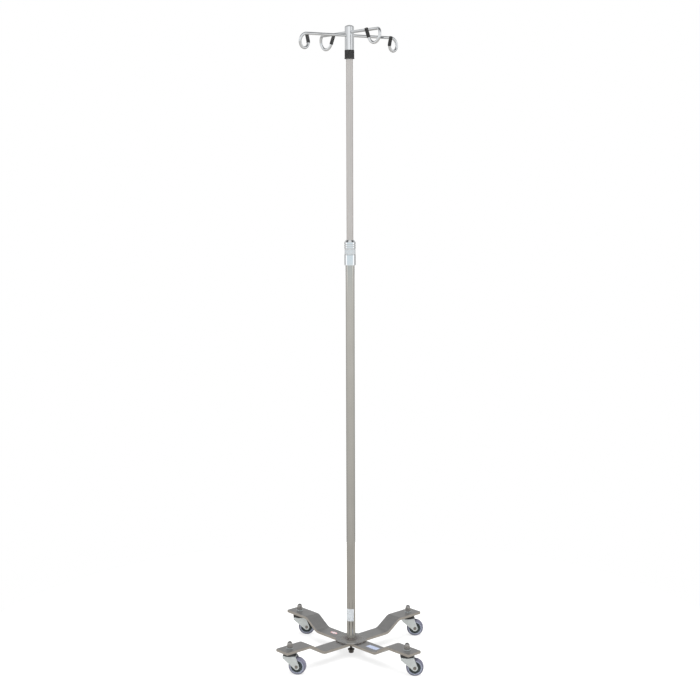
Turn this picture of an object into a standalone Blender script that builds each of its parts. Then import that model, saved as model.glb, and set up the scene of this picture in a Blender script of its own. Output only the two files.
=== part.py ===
"""IV drip stand: a four-leg caster base, a telescopic pole with a slide lock, and a head of two crossing hook rods.

Metres, +Z up. The origin lies on the floor under the pole's axis. Front is -Y, and the legs stand on the diagonals.
Every piece is an object of its own. Neighbours that touch keep GAP between their surfaces.
"""
from math import atan2, cos, pi, radians, sin, sqrt, tan

import bmesh
import bpy
from mathutils import Matrix, Vector

# ---------------------------------------------------------------- driving dimensions
GAP = 0.0003
ROUND_STEPS = 20
SMALL_STEPS = 12
CORE_STEPS = 18
TREAD_STEPS = 28

# corner name: direction from the pole, and the way its caster trails (degrees from +X)
CORNERS = {
    "front_left": (-1, -1, -10.0),
    "front_right": (1, -1, 0.0),
    "rear_left": (-1, 1, 0.0),
    "rear_right": (1, 1, 0.0),
}

# base legs: flat bar, low at the hub and raised over the casters
LEG_WIDTH = 0.0500
LEG_THICKNESS = 0.0080
LEG_LOW_TOP = 0.0432
LEG_HIGH_TOP = 0.0740
LEG_BEND_START = 0.1275
LEG_BEND_END = 0.1740
LEG_END = 0.2670
LEG_BEND_RADIUS = 0.028
LEG_CORNER_RADIUS = 0.0015
STEM_CIRCLE = 0.2365

# hub
HUB_RADIUS = 0.0465
HUB_THICKNESS = 0.0042
HUB_BOSS_RADIUS = 0.0240
SPIGOT_HEIGHT = 0.0200
WELD_WIDTH = 0.0045
WELD_HEIGHT = 0.0043
HUB_BOLT_RADIUS = 0.0040
HUB_BOLT_HEAD_BOTTOM = 0.0028
HUB_BOLT_HEAD_HEIGHT = 0.0080
HUB_BOLT_FLATS = 0.0130
HUB_BOLT_TOP = 0.0600
HUB_WASHER_RADIUS = 0.0098
HUB_WASHER_THICKNESS = 0.0035

# pole tubes
LOWER_RADIUS = 0.0127
LOWER_BORE = 0.01105
LOWER_TOP = 1.1800
UPPER_RADIUS = 0.009525
UPPER_BORE = 0.0083
UPPER_BOTTOM = 0.6850
UPPER_TOP = 1.7850
GLIDE_RADIUS = LOWER_BORE - GAP
GLIDE_BORE = UPPER_RADIUS + GAP
GUIDE_LENGTH = 0.0300
FOOT_DEPTH = 0.0200
FOOT_FLOOR = 0.0025

# slide lock on the lower tube's top
LOCK_RADIUS = 0.0157
LOCK_BOTTOM = 1.1563
LOCK_SHOULDER = 1.1861
LOCK_NECK_RADIUS = 0.0129
LOCK_NECK_TOP = 1.2130
LOCK_BORE = 0.0099
SLEEVE_TOP = 1.2283
SLEEVE_LIP = 0.0068
SLEEVE_CHAMFER_WIDTH = 0.0040
SLEEVE_CHAMFER_HEIGHT = 0.0062
GROOVE_HEIGHTS = (1.2154, 1.2097, 1.2040)
GROOVE_HALF_WIDTH = 0.0009
GROOVE_DEPTH = 0.0006

# head
NECK_BOTTOM = 1.7348
NECK_TOP = 1.7590
NECK_RADIUS = 0.0135
NECK_RIM_RADIUS = 0.0139
NECK_RIM_HEIGHT = 0.0025
HEAD_RADIUS = 0.0127
HEAD_BORE = 0.01105
HEAD_TUBE_TOP = 1.8235
CAP_DOME = 0.0042
CAP_SKIRT = 0.0070

# hook rods: the lower one crosses the head just under the upper one
ROD_RADIUS = 0.00397
ROD_TURN = radians(36.0)
LOWER_ROD_Z = 1.7992
UPPER_ROD_Z = 1.8080
HOOK_REACH = 0.1405
LOOP_HALF_WIDTH = 0.0172
LOOP_HALF_HEIGHT = 0.0192
LOOP_SHIFT = 0.0195
LOOP_ANGLE = radians(270)
LOOP_STEPS = 14
TIP_LEAN = 0.0070
TIP_RADIUS = 0.0050
TIP_BORE = 0.0045
TIP_END_WALL = 0.0012
TIP_COVER = 0.9
TIP_TAPER = (0.60, 0.86, 1.0)

# caster fixings on each leg
STUD_RADIUS = 0.0050
STUD_HOLE = STUD_RADIUS + GAP
STUD_TOP = 0.0888
WASHER_RADIUS = 0.0100
WASHER_THICKNESS = 0.0018
NUT_FLATS = 0.0155
NUT_HEX_HEIGHT = 0.0082
NUT_TOP = 0.0955

# casters
DUST_RING_RADIUS = 0.0198
DUST_RING_HEIGHT = 0.0050
DUST_SKIRT_BOTTOM = 0.0561
DUST_SKIRT_GAP = 0.0005
STUD_FLANGE_RADIUS = 0.0135
STUD_NECK_RADIUS = 0.0060
STUD_HEAD_RADIUS = 0.0095
STUD_HEAD_BOTTOM = 0.0500
FORK_TOP = 0.0603
FORK_PLATE_TOP = 0.0555
FORK_PLATE_THICKNESS = 0.0025
FORK_PLATE_RADIUS = 0.0195
FORK_DOME_RADIUS = 0.0165
FORK_WIDTH = 0.0280
FORK_INSIDE = 0.0240
FORK_BOSS_RADIUS = 0.0085
FORK_REAR_DROP = 0.0070
TRAIL = 0.0220
WHEEL_RADIUS = 0.0250
WHEEL_WIDTH = 0.0200
CORE_RADIUS = 0.0168
CORE_RECESS = 0.0030
HUB_OF_WHEEL_RADIUS = 0.0070
AXLE_RADIUS = 0.0030
AXLE_HEAD_RADIUS = 0.0048
AXLE_HEAD_HEIGHT = 0.0016

# worked out from the above
LEG_UNDERSIDE = LEG_HIGH_TOP - LEG_THICKNESS
HUB_TOP = LEG_LOW_TOP + GAP + HUB_THICKNESS
HUB_BOTTOM = LEG_LOW_TOP - LEG_THICKNESS
WASHER_BOTTOM = LEG_HIGH_TOP + GAP
NUT_BOTTOM = WASHER_BOTTOM + WASHER_THICKNESS + GAP
DUST_RING_TOP = LEG_UNDERSIDE - GAP
HOOK_STRAIGHT = sqrt(LOOP_HALF_HEIGHT ** 2 + TIP_LEAN ** 2)


# ---------------------------------------------------------------- scene and materials
def clear_scene():
    for item in list(bpy.data.objects):
        bpy.data.objects.remove(item, do_unlink=True)


def new_collection(name):
    collection = bpy.data.collections.new(name)
    bpy.context.scene.collection.children.link(collection)
    return collection


def new_material(name, colour, metallic, roughness):
    material = bpy.data.materials.new(name)
    material.use_nodes = True
    surface = material.node_tree.nodes["Principled BSDF"]
    surface.inputs["Base Color"].default_value = (*colour, 1.0)
    surface.inputs["Metallic"].default_value = metallic
    surface.inputs["Roughness"].default_value = roughness
    return material


clear_scene()
PARTS = new_collection("iv_drip_stand")
CUTTERS = new_collection("cutters")
CHROME = new_material("chrome", (0.86, 0.87, 0.88), 1.0, 0.08)
SATIN = new_material("satin_chrome", (0.74, 0.74, 0.73), 1.0, 0.28)
STEEL = new_material("brushed_steel", (0.50, 0.49, 0.47), 1.0, 0.38)
ZINC = new_material("zinc_plate", (0.70, 0.74, 0.75), 1.0, 0.32)
DARK_STEEL = new_material("dark_steel", (0.05, 0.04, 0.035), 0.8, 0.5)
BLACK_PLASTIC = new_material("black_plastic", (0.015, 0.015, 0.016), 0.0, 0.45)
WHITE_PLASTIC = new_material("white_plastic", (0.80, 0.80, 0.78), 0.0, 0.5)
WHEEL_CORE = new_material("wheel_core", (0.035, 0.045, 0.045), 0.0, 0.5)
TREAD_RUBBER = new_material("tread_rubber", (0.23, 0.23, 0.29), 0.0, 0.6)


# ---------------------------------------------------------------- outlines
def arc(centre, radius, start, end, steps):
    """Points on an arc, from the angle start to the angle end."""
    angles = [start + (end - start) * i / steps for i in range(steps + 1)]
    return [(centre[0] + radius * cos(a), centre[1] + radius * sin(a)) for a in angles]


def rounded_corner(before, corner, after, radius, steps):
    """The arc that replaces one corner of a path."""
    corner = Vector(corner)
    back = (Vector(before) - corner).normalized()
    ahead = (Vector(after) - corner).normalized()
    half_angle = back.angle(ahead) / 2
    centre = corner + (back + ahead).normalized() * (radius / sin(half_angle))
    start = corner + back * (radius / tan(half_angle)) - centre
    end = corner + ahead * (radius / tan(half_angle)) - centre
    first = atan2(start.y, start.x)
    sweep = (atan2(end.y, end.x) - first + pi) % (2 * pi) - pi
    return arc(centre, radius, first, first + sweep, steps)


def thickened(path, thickness):
    """The outline of a flat strip with the path on its upper side."""
    under = []
    for i, point in enumerate(path):
        ahead = Vector(path[min(i + 1, len(path) - 1)]) - Vector(path[max(i - 1, 0)])
        across = Vector((ahead.y, -ahead.x)).normalized()
        under.append(tuple(Vector(point) + across * thickness))
    return path + under[::-1]


def ring_profile(inner, outer, bottom, top):
    """A ring or tube of rectangular section."""
    return [(inner, top), (outer, top), (outer, bottom), (inner, bottom)]


# ---------------------------------------------------------------- making solids
def baked(item):
    """The evaluated mesh of an object, which is then removed."""
    bpy.context.view_layer.update()
    graph = bpy.context.evaluated_depsgraph_get()
    mesh = bpy.data.meshes.new_from_object(item.evaluated_get(graph))
    mesh.transform(item.matrix_world)
    bpy.data.objects.remove(item, do_unlink=True)
    return mesh


def turned_mesh(profile, steps=ROUND_STEPS):
    """A profile of (radius, height) points turned about Z. It runs down its outer side."""
    is_ring = all(radius > 0 for radius, _ in profile)
    count = len(profile)
    edges = [(i, (i + 1) % count) for i in range(count if is_ring else count - 1)]
    mesh = bpy.data.meshes.new("profile")
    mesh.from_pydata([(radius, 0, height) for radius, height in profile], edges, [])
    item = bpy.data.objects.new("profile", mesh)
    CUTTERS.objects.link(item)
    screw = item.modifiers.new("turn", "SCREW")
    screw.axis = "Z"
    screw.steps = steps
    screw.render_steps = steps
    screw.use_merge_vertices = True
    screw.merge_threshold = 0.00001
    return baked(item)


def welded(mesh):
    """Closes a curve's loose caps."""
    shape = bmesh.new()
    shape.from_mesh(mesh)
    bmesh.ops.remove_doubles(shape, verts=shape.verts, dist=0.000001)
    bmesh.ops.recalc_face_normals(shape, faces=shape.faces)
    shape.to_mesh(mesh)
    shape.free()
    return mesh


def flat_mesh(outline, depth):
    """A flat outline in XY, extruded by half the depth to each side."""
    curve = bpy.data.curves.new("outline", "CURVE")
    curve.dimensions = "2D"
    curve.fill_mode = "BOTH"
    curve.extrude = depth / 2
    spline = curve.splines.new("POLY")
    spline.points.add(len(outline) - 1)
    for point, (x, y) in zip(spline.points, outline):
        point.co = (x, y, 0, 1)
    spline.use_cyclic_u = True
    item = bpy.data.objects.new("outline", curve)
    CUTTERS.objects.link(item)
    return welded(baked(item))


def upright(mesh):
    """Stands an XY outline up in the XZ plane."""
    mesh.transform(Matrix.Rotation(pi / 2, 4, "X"))
    return mesh


def wire_mesh(points, radius, taper=()):
    """A round rod through the points. The taper scales its radius at the last points, the end first."""
    curve = bpy.data.curves.new("wire", "CURVE")
    curve.dimensions = "3D"
    curve.bevel_depth = radius
    curve.bevel_resolution = 2
    curve.use_fill_caps = True
    spline = curve.splines.new("POLY")
    spline.points.add(len(points) - 1)
    for point, place in zip(spline.points, points):
        point.co = (*place, 1)
    for point, share in zip(reversed(spline.points), taper):
        point.radius = share
    item = bpy.data.objects.new("wire", curve)
    CUTTERS.objects.link(item)
    return welded(baked(item))


def cylinder_mesh(radius, bottom, top, sides=SMALL_STEPS):
    shape = bmesh.new()
    place = Matrix.Translation((0, 0, (bottom + top) / 2))
    bmesh.ops.create_cone(
        shape, cap_ends=True, segments=sides, radius1=radius, radius2=radius, depth=top - bottom, matrix=place
    )
    mesh = bpy.data.meshes.new("cylinder")
    shape.to_mesh(mesh)
    shape.free()
    return mesh


def hexagon_mesh(flats, bottom, top):
    return cylinder_mesh(flats / 2 / cos(pi / 6), bottom, top, sides=6)


def box_mesh(low, high):
    size = Vector(high) - Vector(low)
    place = Matrix.Translation((Vector(low) + Vector(high)) / 2) @ Matrix.Diagonal((*size, 1))
    shape = bmesh.new()
    bmesh.ops.create_cube(shape, size=1, matrix=place)
    mesh = bpy.data.meshes.new("box")
    shape.to_mesh(mesh)
    shape.free()
    return mesh


def combined(mesh, other, operation):
    """Boolean of two meshes: DIFFERENCE, UNION or INTERSECT."""
    item = bpy.data.objects.new("work", mesh)
    cutter = bpy.data.objects.new("cutter", other)
    cutter.hide_render = True
    cutter.display_type = "WIRE"
    CUTTERS.objects.link(item)
    CUTTERS.objects.link(cutter)
    step = item.modifiers.new(operation, "BOOLEAN")
    step.operation = operation
    step.solver = "EXACT"
    step.object = cutter
    result = baked(item)
    bpy.data.objects.remove(cutter, do_unlink=True)
    return result


def add_part(name, mesh, material, parent=None, location=(0, 0, 0), rotation=(0, 0, 0)):
    """One named piece. Its mesh may be shared with its copies."""
    if not mesh.materials:
        mesh.materials.append(material)
    mesh.materials[0] = material
    mesh.shade_smooth()
    mesh.set_sharp_from_angle(angle=radians(35))
    item = bpy.data.objects.new(name, mesh)
    item.location = location
    item.rotation_euler = rotation
    item.parent = parent
    PARTS.objects.link(item)
    return item


def add_axis(name, parent=None, location=(0, 0, 0), rotation=(0, 0, 0)):
    """An empty on a joint's axis, which carries the moving pieces."""
    item = bpy.data.objects.new(name, None)
    item.empty_display_size = 0.02
    item.location = location
    item.rotation_euler = rotation
    item.parent = parent
    PARTS.objects.link(item)
    return item


# ---------------------------------------------------------------- base
def leg_mesh():
    """Cranked flat bar along +X, with rounded outer corners and a hole for the caster's stud."""
    start = (LEG_WIDTH / 2 + GAP, LEG_LOW_TOP)
    low = (LEG_BEND_START, LEG_LOW_TOP)
    high = (LEG_BEND_END, LEG_HIGH_TOP)
    end = (LEG_END, LEG_HIGH_TOP)
    path = [start]
    path += rounded_corner(start, low, high, LEG_BEND_RADIUS, 5)
    path += rounded_corner(low, high, end, LEG_BEND_RADIUS, 5)
    path += [end]
    bar = upright(flat_mesh(thickened(path, LEG_THICKNESS), LEG_WIDTH + 0.002))
    half = LEG_WIDTH / 2
    corner = LEG_END - LEG_CORNER_RADIUS
    plan = [(start[0], -half)]
    plan += arc((corner, -half + LEG_CORNER_RADIUS), LEG_CORNER_RADIUS, -pi / 2, 0, 2)
    plan += arc((corner, half - LEG_CORNER_RADIUS), LEG_CORNER_RADIUS, 0, pi / 2, 2)
    plan += [(start[0], half)]
    bar = combined(bar, flat_mesh(plan, 0.2), "INTERSECT")
    hole = cylinder_mesh(STUD_HOLE, LEG_UNDERSIDE - 0.01, LEG_HIGH_TOP + 0.01)
    hole.transform(Matrix.Translation((STEM_CIRCLE, 0, 0)))
    return combined(bar, hole, "DIFFERENCE")


def hub_profile():
    """Round plate on the legs, with a boss between them, a spigot in the pole and a weld bead round its foot."""
    weld_start = LOWER_RADIUS + GAP
    bead = arc((weld_start, HUB_TOP), 1.0, pi / 2, 0, 3)
    bead = [(weld_start + (r - weld_start) * WELD_WIDTH, HUB_TOP + (z - HUB_TOP) * WELD_HEIGHT) for r, z in bead]
    spigot_radius = LOWER_BORE - GAP
    bolt_hole = HUB_BOLT_RADIUS + GAP
    return [
        (0, HUB_TOP + SPIGOT_HEIGHT),
        (spigot_radius - 0.001, HUB_TOP + SPIGOT_HEIGHT),
        (spigot_radius, HUB_TOP + SPIGOT_HEIGHT - 0.001),
        (spigot_radius, HUB_TOP),
        (weld_start, HUB_TOP),
        *bead,
        (HUB_RADIUS - 0.001, HUB_TOP),
        (HUB_RADIUS, HUB_TOP - 0.001),
        (HUB_RADIUS, LEG_LOW_TOP + GAP),
        (HUB_BOSS_RADIUS, LEG_LOW_TOP + GAP),
        (HUB_BOSS_RADIUS, HUB_BOTTOM),
        (bolt_hole, HUB_BOTTOM),
        (bolt_hole, HUB_BOLT_TOP + GAP),
        (0, HUB_BOLT_TOP + GAP),
    ]


def hub_bolt_mesh():
    head_top = HUB_BOLT_HEAD_BOTTOM + HUB_BOLT_HEAD_HEIGHT
    head = hexagon_mesh(HUB_BOLT_FLATS, HUB_BOLT_HEAD_BOTTOM, head_top)
    shank = cylinder_mesh(HUB_BOLT_RADIUS, HUB_BOLT_HEAD_BOTTOM + 0.002, HUB_BOLT_TOP)
    return combined(head, shank, "UNION")


def build_hub():
    washer_bottom = HUB_BOLT_HEAD_BOTTOM + HUB_BOLT_HEAD_HEIGHT + GAP
    washer = ring_profile(HUB_BOLT_RADIUS + GAP, HUB_WASHER_RADIUS, 0, HUB_WASHER_THICKNESS)
    add_part("hub_plate", turned_mesh(hub_profile()), STEEL)
    add_part("hub_bolt", hub_bolt_mesh(), DARK_STEEL)
    add_part("hub_washer", turned_mesh(washer, SMALL_STEPS), DARK_STEEL, location=(0, 0, washer_bottom))


def cap_nut_mesh():
    """Domed nut, standing on z = 0, with a blind bore for the stud."""
    height = NUT_TOP - NUT_BOTTOM
    dome_radius = NUT_FLATS / 2 - 0.0004
    dome = [(0, height)]
    dome += arc((0, height - dome_radius), dome_radius, radians(72), 0, 5)
    dome += [(dome_radius, NUT_HEX_HEIGHT / 2), (0, NUT_HEX_HEIGHT / 2)]
    nut = combined(hexagon_mesh(NUT_FLATS, 0, NUT_HEX_HEIGHT), turned_mesh(dome, SMALL_STEPS), "UNION")
    return combined(nut, cylinder_mesh(STUD_HOLE, -0.01, STUD_TOP + GAP - NUT_BOTTOM), "DIFFERENCE")


def stem_profile():
    """Threaded stud with a flange under the leg, and a riveted head that carries the fork."""
    flange_bottom = DUST_RING_TOP - DUST_RING_HEIGHT
    head_top = FORK_PLATE_TOP - FORK_PLATE_THICKNESS - GAP
    return [
        (0, STUD_TOP),
        (STUD_RADIUS - 0.0008, STUD_TOP),
        (STUD_RADIUS, STUD_TOP - 0.0008),
        (STUD_RADIUS, DUST_RING_TOP),
        (STUD_FLANGE_RADIUS, DUST_RING_TOP),
        (STUD_FLANGE_RADIUS, flange_bottom),
        (STUD_NECK_RADIUS, flange_bottom),
        (STUD_NECK_RADIUS, head_top),
        (STUD_HEAD_RADIUS, head_top),
        (STUD_HEAD_RADIUS - 0.001, STUD_HEAD_BOTTOM),
        (0, STUD_HEAD_BOTTOM),
    ]


def dust_ring_profile():
    """Seal under the leg: a web round the stud's flange, and a skirt round the fork's raised race."""
    inner = STUD_FLANGE_RADIUS + GAP
    skirt = FORK_DOME_RADIUS + DUST_SKIRT_GAP
    web_bottom = DUST_RING_TOP - DUST_RING_HEIGHT
    return [
        (inner, DUST_RING_TOP),
        (DUST_RING_RADIUS, DUST_RING_TOP),
        (DUST_RING_RADIUS, DUST_SKIRT_BOTTOM),
        (skirt, DUST_SKIRT_BOTTOM),
        (skirt, web_bottom),
        (inner, web_bottom),
    ]


# ---------------------------------------------------------------- casters
def fork_mesh():
    """Pressed fork about the swivel axis at the origin, trailing along +X, in world heights."""
    axle = (TRAIL, WHEEL_RADIUS)
    outline = [(-FORK_PLATE_RADIUS + 0.001, FORK_PLATE_TOP), (FORK_PLATE_RADIUS, FORK_PLATE_TOP)]
    outline += arc(axle, FORK_BOSS_RADIUS, radians(15), radians(-145), 7)
    outline += [(-FORK_PLATE_RADIUS + 0.001, FORK_PLATE_TOP - FORK_REAR_DROP)]
    fork = upright(flat_mesh(outline, FORK_WIDTH))
    inside = box_mesh(
        (-0.05, -FORK_INSIDE / 2, -0.01), (0.05, FORK_INSIDE / 2, FORK_PLATE_TOP - FORK_PLATE_THICKNESS)
    )
    fork = combined(fork, inside, "DIFFERENCE")
    top = turned_mesh([
        (0, FORK_TOP),
        (FORK_DOME_RADIUS - 0.002, FORK_TOP),
        (FORK_DOME_RADIUS, FORK_TOP - 0.002),
        (FORK_DOME_RADIUS, FORK_PLATE_TOP),
        (FORK_PLATE_RADIUS, FORK_PLATE_TOP),
        (FORK_PLATE_RADIUS, FORK_PLATE_TOP - FORK_PLATE_THICKNESS),
        (0, FORK_PLATE_TOP - FORK_PLATE_THICKNESS),
    ])
    fork = combined(fork, top, "UNION")
    fork = combined(fork, cylinder_mesh(STUD_NECK_RADIUS + GAP, 0.04, 0.07), "DIFFERENCE")
    bore = cylinder_mesh(AXLE_RADIUS + GAP, -FORK_WIDTH, FORK_WIDTH)
    bore.transform(Matrix.Translation((TRAIL, 0, WHEEL_RADIUS)) @ Matrix.Rotation(pi / 2, 4, "X"))
    return combined(fork, bore, "DIFFERENCE")


def axle_profile():
    """Rivet through fork and wheel, along its own Z."""
    reach = FORK_WIDTH / 2 + GAP
    tip = reach + AXLE_HEAD_HEIGHT
    return [
        (0, tip),
        (AXLE_HEAD_RADIUS - 0.0008, tip),
        (AXLE_HEAD_RADIUS, reach),
        (AXLE_RADIUS, reach),
        (AXLE_RADIUS, -reach),
        (AXLE_HEAD_RADIUS, -reach),
        (AXLE_HEAD_RADIUS - 0.0008, -tip),
        (0, -tip),
    ]


def core_profile():
    """Moulded wheel core with a hub that fills the fork and a recess in each side."""
    bore = AXLE_RADIUS + GAP
    hub_end = FORK_INSIDE / 2 - GAP
    rim = WHEEL_WIDTH / 2 - 0.0020
    web = rim - CORE_RECESS
    upper = [
        (bore, hub_end),
        (HUB_OF_WHEEL_RADIUS, hub_end),
        (HUB_OF_WHEEL_RADIUS + 0.0008, web),
        (CORE_RADIUS - 0.0022, web),
        (CORE_RADIUS - 0.0016, rim),
        (CORE_RADIUS, rim),
    ]
    return upper + [(radius, -height) for radius, height in reversed(upper)]


def tread_profile():
    """Solid tyre with rounded shoulders."""
    inner = CORE_RADIUS + GAP
    half = WHEEL_WIDTH / 2
    shoulder = 0.0045
    outer = arc((WHEEL_RADIUS - shoulder, half - shoulder), shoulder, pi / 2, 0, 3)
    lower = [(radius, -height) for radius, height in reversed(outer)]
    return [(inner, half), *outer, *lower, (inner, -half)]


def build_corners():
    """The same leg, fixings and caster at each corner of the base."""
    leg = leg_mesh()
    washer = turned_mesh(ring_profile(STUD_HOLE, WASHER_RADIUS, 0, WASHER_THICKNESS), SMALL_STEPS)
    nut = cap_nut_mesh()
    stem = turned_mesh(stem_profile(), SMALL_STEPS)
    dust_ring = turned_mesh(dust_ring_profile())
    fork = fork_mesh()
    axle = turned_mesh(axle_profile(), SMALL_STEPS)
    core = turned_mesh(core_profile(), CORE_STEPS)
    tread = turned_mesh(tread_profile(), TREAD_STEPS)
    for corner, (side_x, side_y, trail_angle) in CORNERS.items():
        outward = atan2(side_y, side_x)
        place = (STEM_CIRCLE * cos(outward), STEM_CIRCLE * sin(outward))
        add_part("leg_" + corner, leg, STEEL, rotation=(0, 0, outward))
        add_part("leg_washer_" + corner, washer, ZINC, location=(*place, WASHER_BOTTOM))
        add_part("cap_nut_" + corner, nut, CHROME, location=(*place, NUT_BOTTOM), rotation=(0, 0, outward))
        add_part("caster_stem_" + corner, stem, ZINC, location=(*place, 0))
        add_part("dust_ring_" + corner, dust_ring, BLACK_PLASTIC, location=(*place, 0))
        swivel = add_axis("caster_axis_" + corner, location=(*place, 0), rotation=(0, 0, radians(trail_angle)))
        add_part("caster_fork_" + corner, fork, ZINC, parent=swivel)
        spin = add_axis(
            "wheel_axis_" + corner, parent=swivel, location=(TRAIL, 0, WHEEL_RADIUS), rotation=(pi / 2, 0, 0)
        )
        add_part("wheel_axle_" + corner, axle, ZINC, parent=spin)
        add_part("wheel_core_" + corner, core, WHEEL_CORE, parent=spin)
        add_part("wheel_tread_" + corner, tread, TREAD_RUBBER, parent=spin)


# ---------------------------------------------------------------- pole
def lock_body_profile():
    """Collar pressed on the lower tube, with a neck for the sleeve to slide on."""
    socket = LOWER_RADIUS + GAP
    return [
        (LOCK_BORE, LOCK_NECK_TOP),
        (LOCK_NECK_RADIUS, LOCK_NECK_TOP),
        (LOCK_NECK_RADIUS, LOCK_SHOULDER),
        (LOCK_RADIUS - 0.0003, LOCK_SHOULDER),
        (LOCK_RADIUS, LOCK_SHOULDER - 0.0003),
        (LOCK_RADIUS, LOCK_BOTTOM + 0.0005),
        (LOCK_RADIUS - 0.0005, LOCK_BOTTOM),
        (socket, LOCK_BOTTOM),
        (socket, LOWER_TOP + GAP),
        (LOCK_BORE, LOWER_TOP + GAP),
    ]


def lock_sleeve_profile():
    """Grip sleeve with a chamfered top and three finger grooves, hollow over the collar's neck."""
    bottom = LOCK_SHOULDER + GAP
    hollow = LOCK_NECK_RADIUS + GAP
    profile = [
        (LOCK_BORE, SLEEVE_TOP),
        (LOCK_RADIUS - SLEEVE_CHAMFER_WIDTH, SLEEVE_TOP),
        (LOCK_RADIUS, SLEEVE_TOP - SLEEVE_CHAMFER_HEIGHT),
    ]
    for height in GROOVE_HEIGHTS:
        profile += [
            (LOCK_RADIUS, height + GROOVE_HALF_WIDTH),
            (LOCK_RADIUS - GROOVE_DEPTH, height),
            (LOCK_RADIUS, height - GROOVE_HALF_WIDTH),
        ]
    profile += [
        (LOCK_RADIUS, bottom),
        (hollow, bottom),
        (hollow, SLEEVE_TOP - SLEEVE_LIP),
        (LOCK_BORE, SLEEVE_TOP - SLEEVE_LIP),
    ]
    return profile


def tube_foot_profile():
    """Nylon cup on the upper tube's foot, which slides in the lower tube."""
    bottom = UPPER_BOTTOM - GAP - FOOT_FLOOR
    top = UPPER_BOTTOM + FOOT_DEPTH
    return [
        (GLIDE_BORE, top),
        (GLIDE_RADIUS, top),
        (GLIDE_RADIUS, bottom + 0.0005),
        (GLIDE_RADIUS - 0.0005, bottom),
        (0, bottom),
        (0, bottom + FOOT_FLOOR),
        (GLIDE_BORE, bottom + FOOT_FLOOR),
    ]


def solid_from_axis(profile):
    """Orders a profile so that it starts and ends on the axis."""
    on_axis = [i for i, (radius, _) in enumerate(profile) if radius == 0]
    start = on_axis[-1]
    return profile[start:] + profile[:start]


def build_pole():
    add_part("lower_tube", turned_mesh(ring_profile(LOWER_BORE, LOWER_RADIUS, HUB_TOP + GAP, LOWER_TOP)), SATIN)
    guide = ring_profile(GLIDE_BORE, GLIDE_RADIUS, LOWER_TOP - GUIDE_LENGTH, LOWER_TOP)
    add_part("guide_bush", turned_mesh(guide), WHITE_PLASTIC)
    add_part("lock_body", turned_mesh(lock_body_profile()), CHROME)
    add_part("lock_sleeve", turned_mesh(lock_sleeve_profile()), CHROME)


# ---------------------------------------------------------------- mast and hooks
def neck_profile():
    """Black bushing: a grip-sized barrel under the head, with a rim and a sleeve up inside the head tube."""
    return [
        (GLIDE_BORE, UPPER_TOP),
        (HEAD_BORE - GAP, UPPER_TOP),
        (HEAD_BORE - GAP, NECK_TOP),
        (NECK_RADIUS - 0.0006, NECK_TOP),
        (NECK_RADIUS, NECK_TOP - 0.0006),
        (NECK_RADIUS, NECK_BOTTOM + NECK_RIM_HEIGHT + 0.0006),
        (NECK_RIM_RADIUS, NECK_BOTTOM + NECK_RIM_HEIGHT),
        (NECK_RIM_RADIUS, NECK_BOTTOM + 0.0005),
        (NECK_RIM_RADIUS - 0.0005, NECK_BOTTOM),
        (GLIDE_BORE, NECK_BOTTOM),
    ]


def head_tube_mesh():
    """Head tube with cross holes for both hook rods."""
    head = turned_mesh(ring_profile(HEAD_BORE, HEAD_RADIUS, NECK_TOP + GAP, HEAD_TUBE_TOP))
    for height, turn in ((LOWER_ROD_Z, ROD_TURN), (UPPER_ROD_Z, ROD_TURN + pi / 2)):
        hole = cylinder_mesh(ROD_RADIUS + GAP, -0.03, 0.03)
        hole.transform(Matrix.Rotation(pi / 2, 4, "Y"))
        hole.transform(Matrix.Translation((0, 0, height)) @ Matrix.Rotation(turn, 4, "Z"))
        head = combined(head, hole, "DIFFERENCE")
    return head


def head_cap_profile():
    """Domed plug on the head tube."""
    rim = HEAD_TUBE_TOP + GAP
    crown = (HEAD_RADIUS ** 2 + CAP_DOME ** 2) / (2 * CAP_DOME)
    start = atan2(crown - CAP_DOME, HEAD_RADIUS)
    dome = arc((0, rim + CAP_DOME - crown), crown, pi / 2, start, 5)
    dome[0] = (0, rim + CAP_DOME)
    return dome + [
        (HEAD_BORE - GAP, rim),
        (HEAD_BORE - GAP, rim - CAP_SKIRT),
        (0, rim - CAP_SKIRT),
    ]


def loop_point(share, turn, height):
    """A point of one hook's loop, which turns down and back and drifts to one side like a pigtail."""
    angle = LOOP_ANGLE * share
    out = HOOK_REACH + LOOP_HALF_WIDTH * sin(angle)
    side = LOOP_SHIFT * (0.75 * share + 0.25 * share ** 2)
    return Vector((
        out * cos(turn) + side * sin(turn),
        out * sin(turn) - side * cos(turn),
        height + LOOP_HALF_HEIGHT * (cos(angle) - 1),
    ))


def tip_direction(turn):
    return Vector((TIP_LEAN * sin(turn), -TIP_LEAN * cos(turn), LOOP_HALF_HEIGHT)).normalized()


def hook_points(turn, height):
    """From the start of the loop to the rod's end."""
    points = [loop_point(i / LOOP_STEPS, turn, height) for i in range(LOOP_STEPS + 1)]
    return points + [points[-1] + tip_direction(turn) * HOOK_STRAIGHT]


def tip_mesh(turn, height):
    """Vinyl cap with a domed end, over the rod's straight end and most of its last bend."""
    bend_start = loop_point(1 - 1 / LOOP_STEPS, turn, height)
    bend_end = loop_point(1, turn, height)
    up = tip_direction(turn)
    mouth = bend_end.lerp(bend_start, TIP_COVER)
    rod_end = bend_end + up * (HOOK_STRAIGHT + GAP)
    top = rod_end + up * TIP_END_WALL
    outside = [mouth, bend_end, top - up * 0.0022, top - up * 0.0007, top]
    inside = [bend_start + (bend_start - bend_end), bend_end, rod_end]
    return combined(wire_mesh(outside, TIP_RADIUS, TIP_TAPER), wire_mesh(inside, TIP_BORE), "DIFFERENCE")


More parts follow.
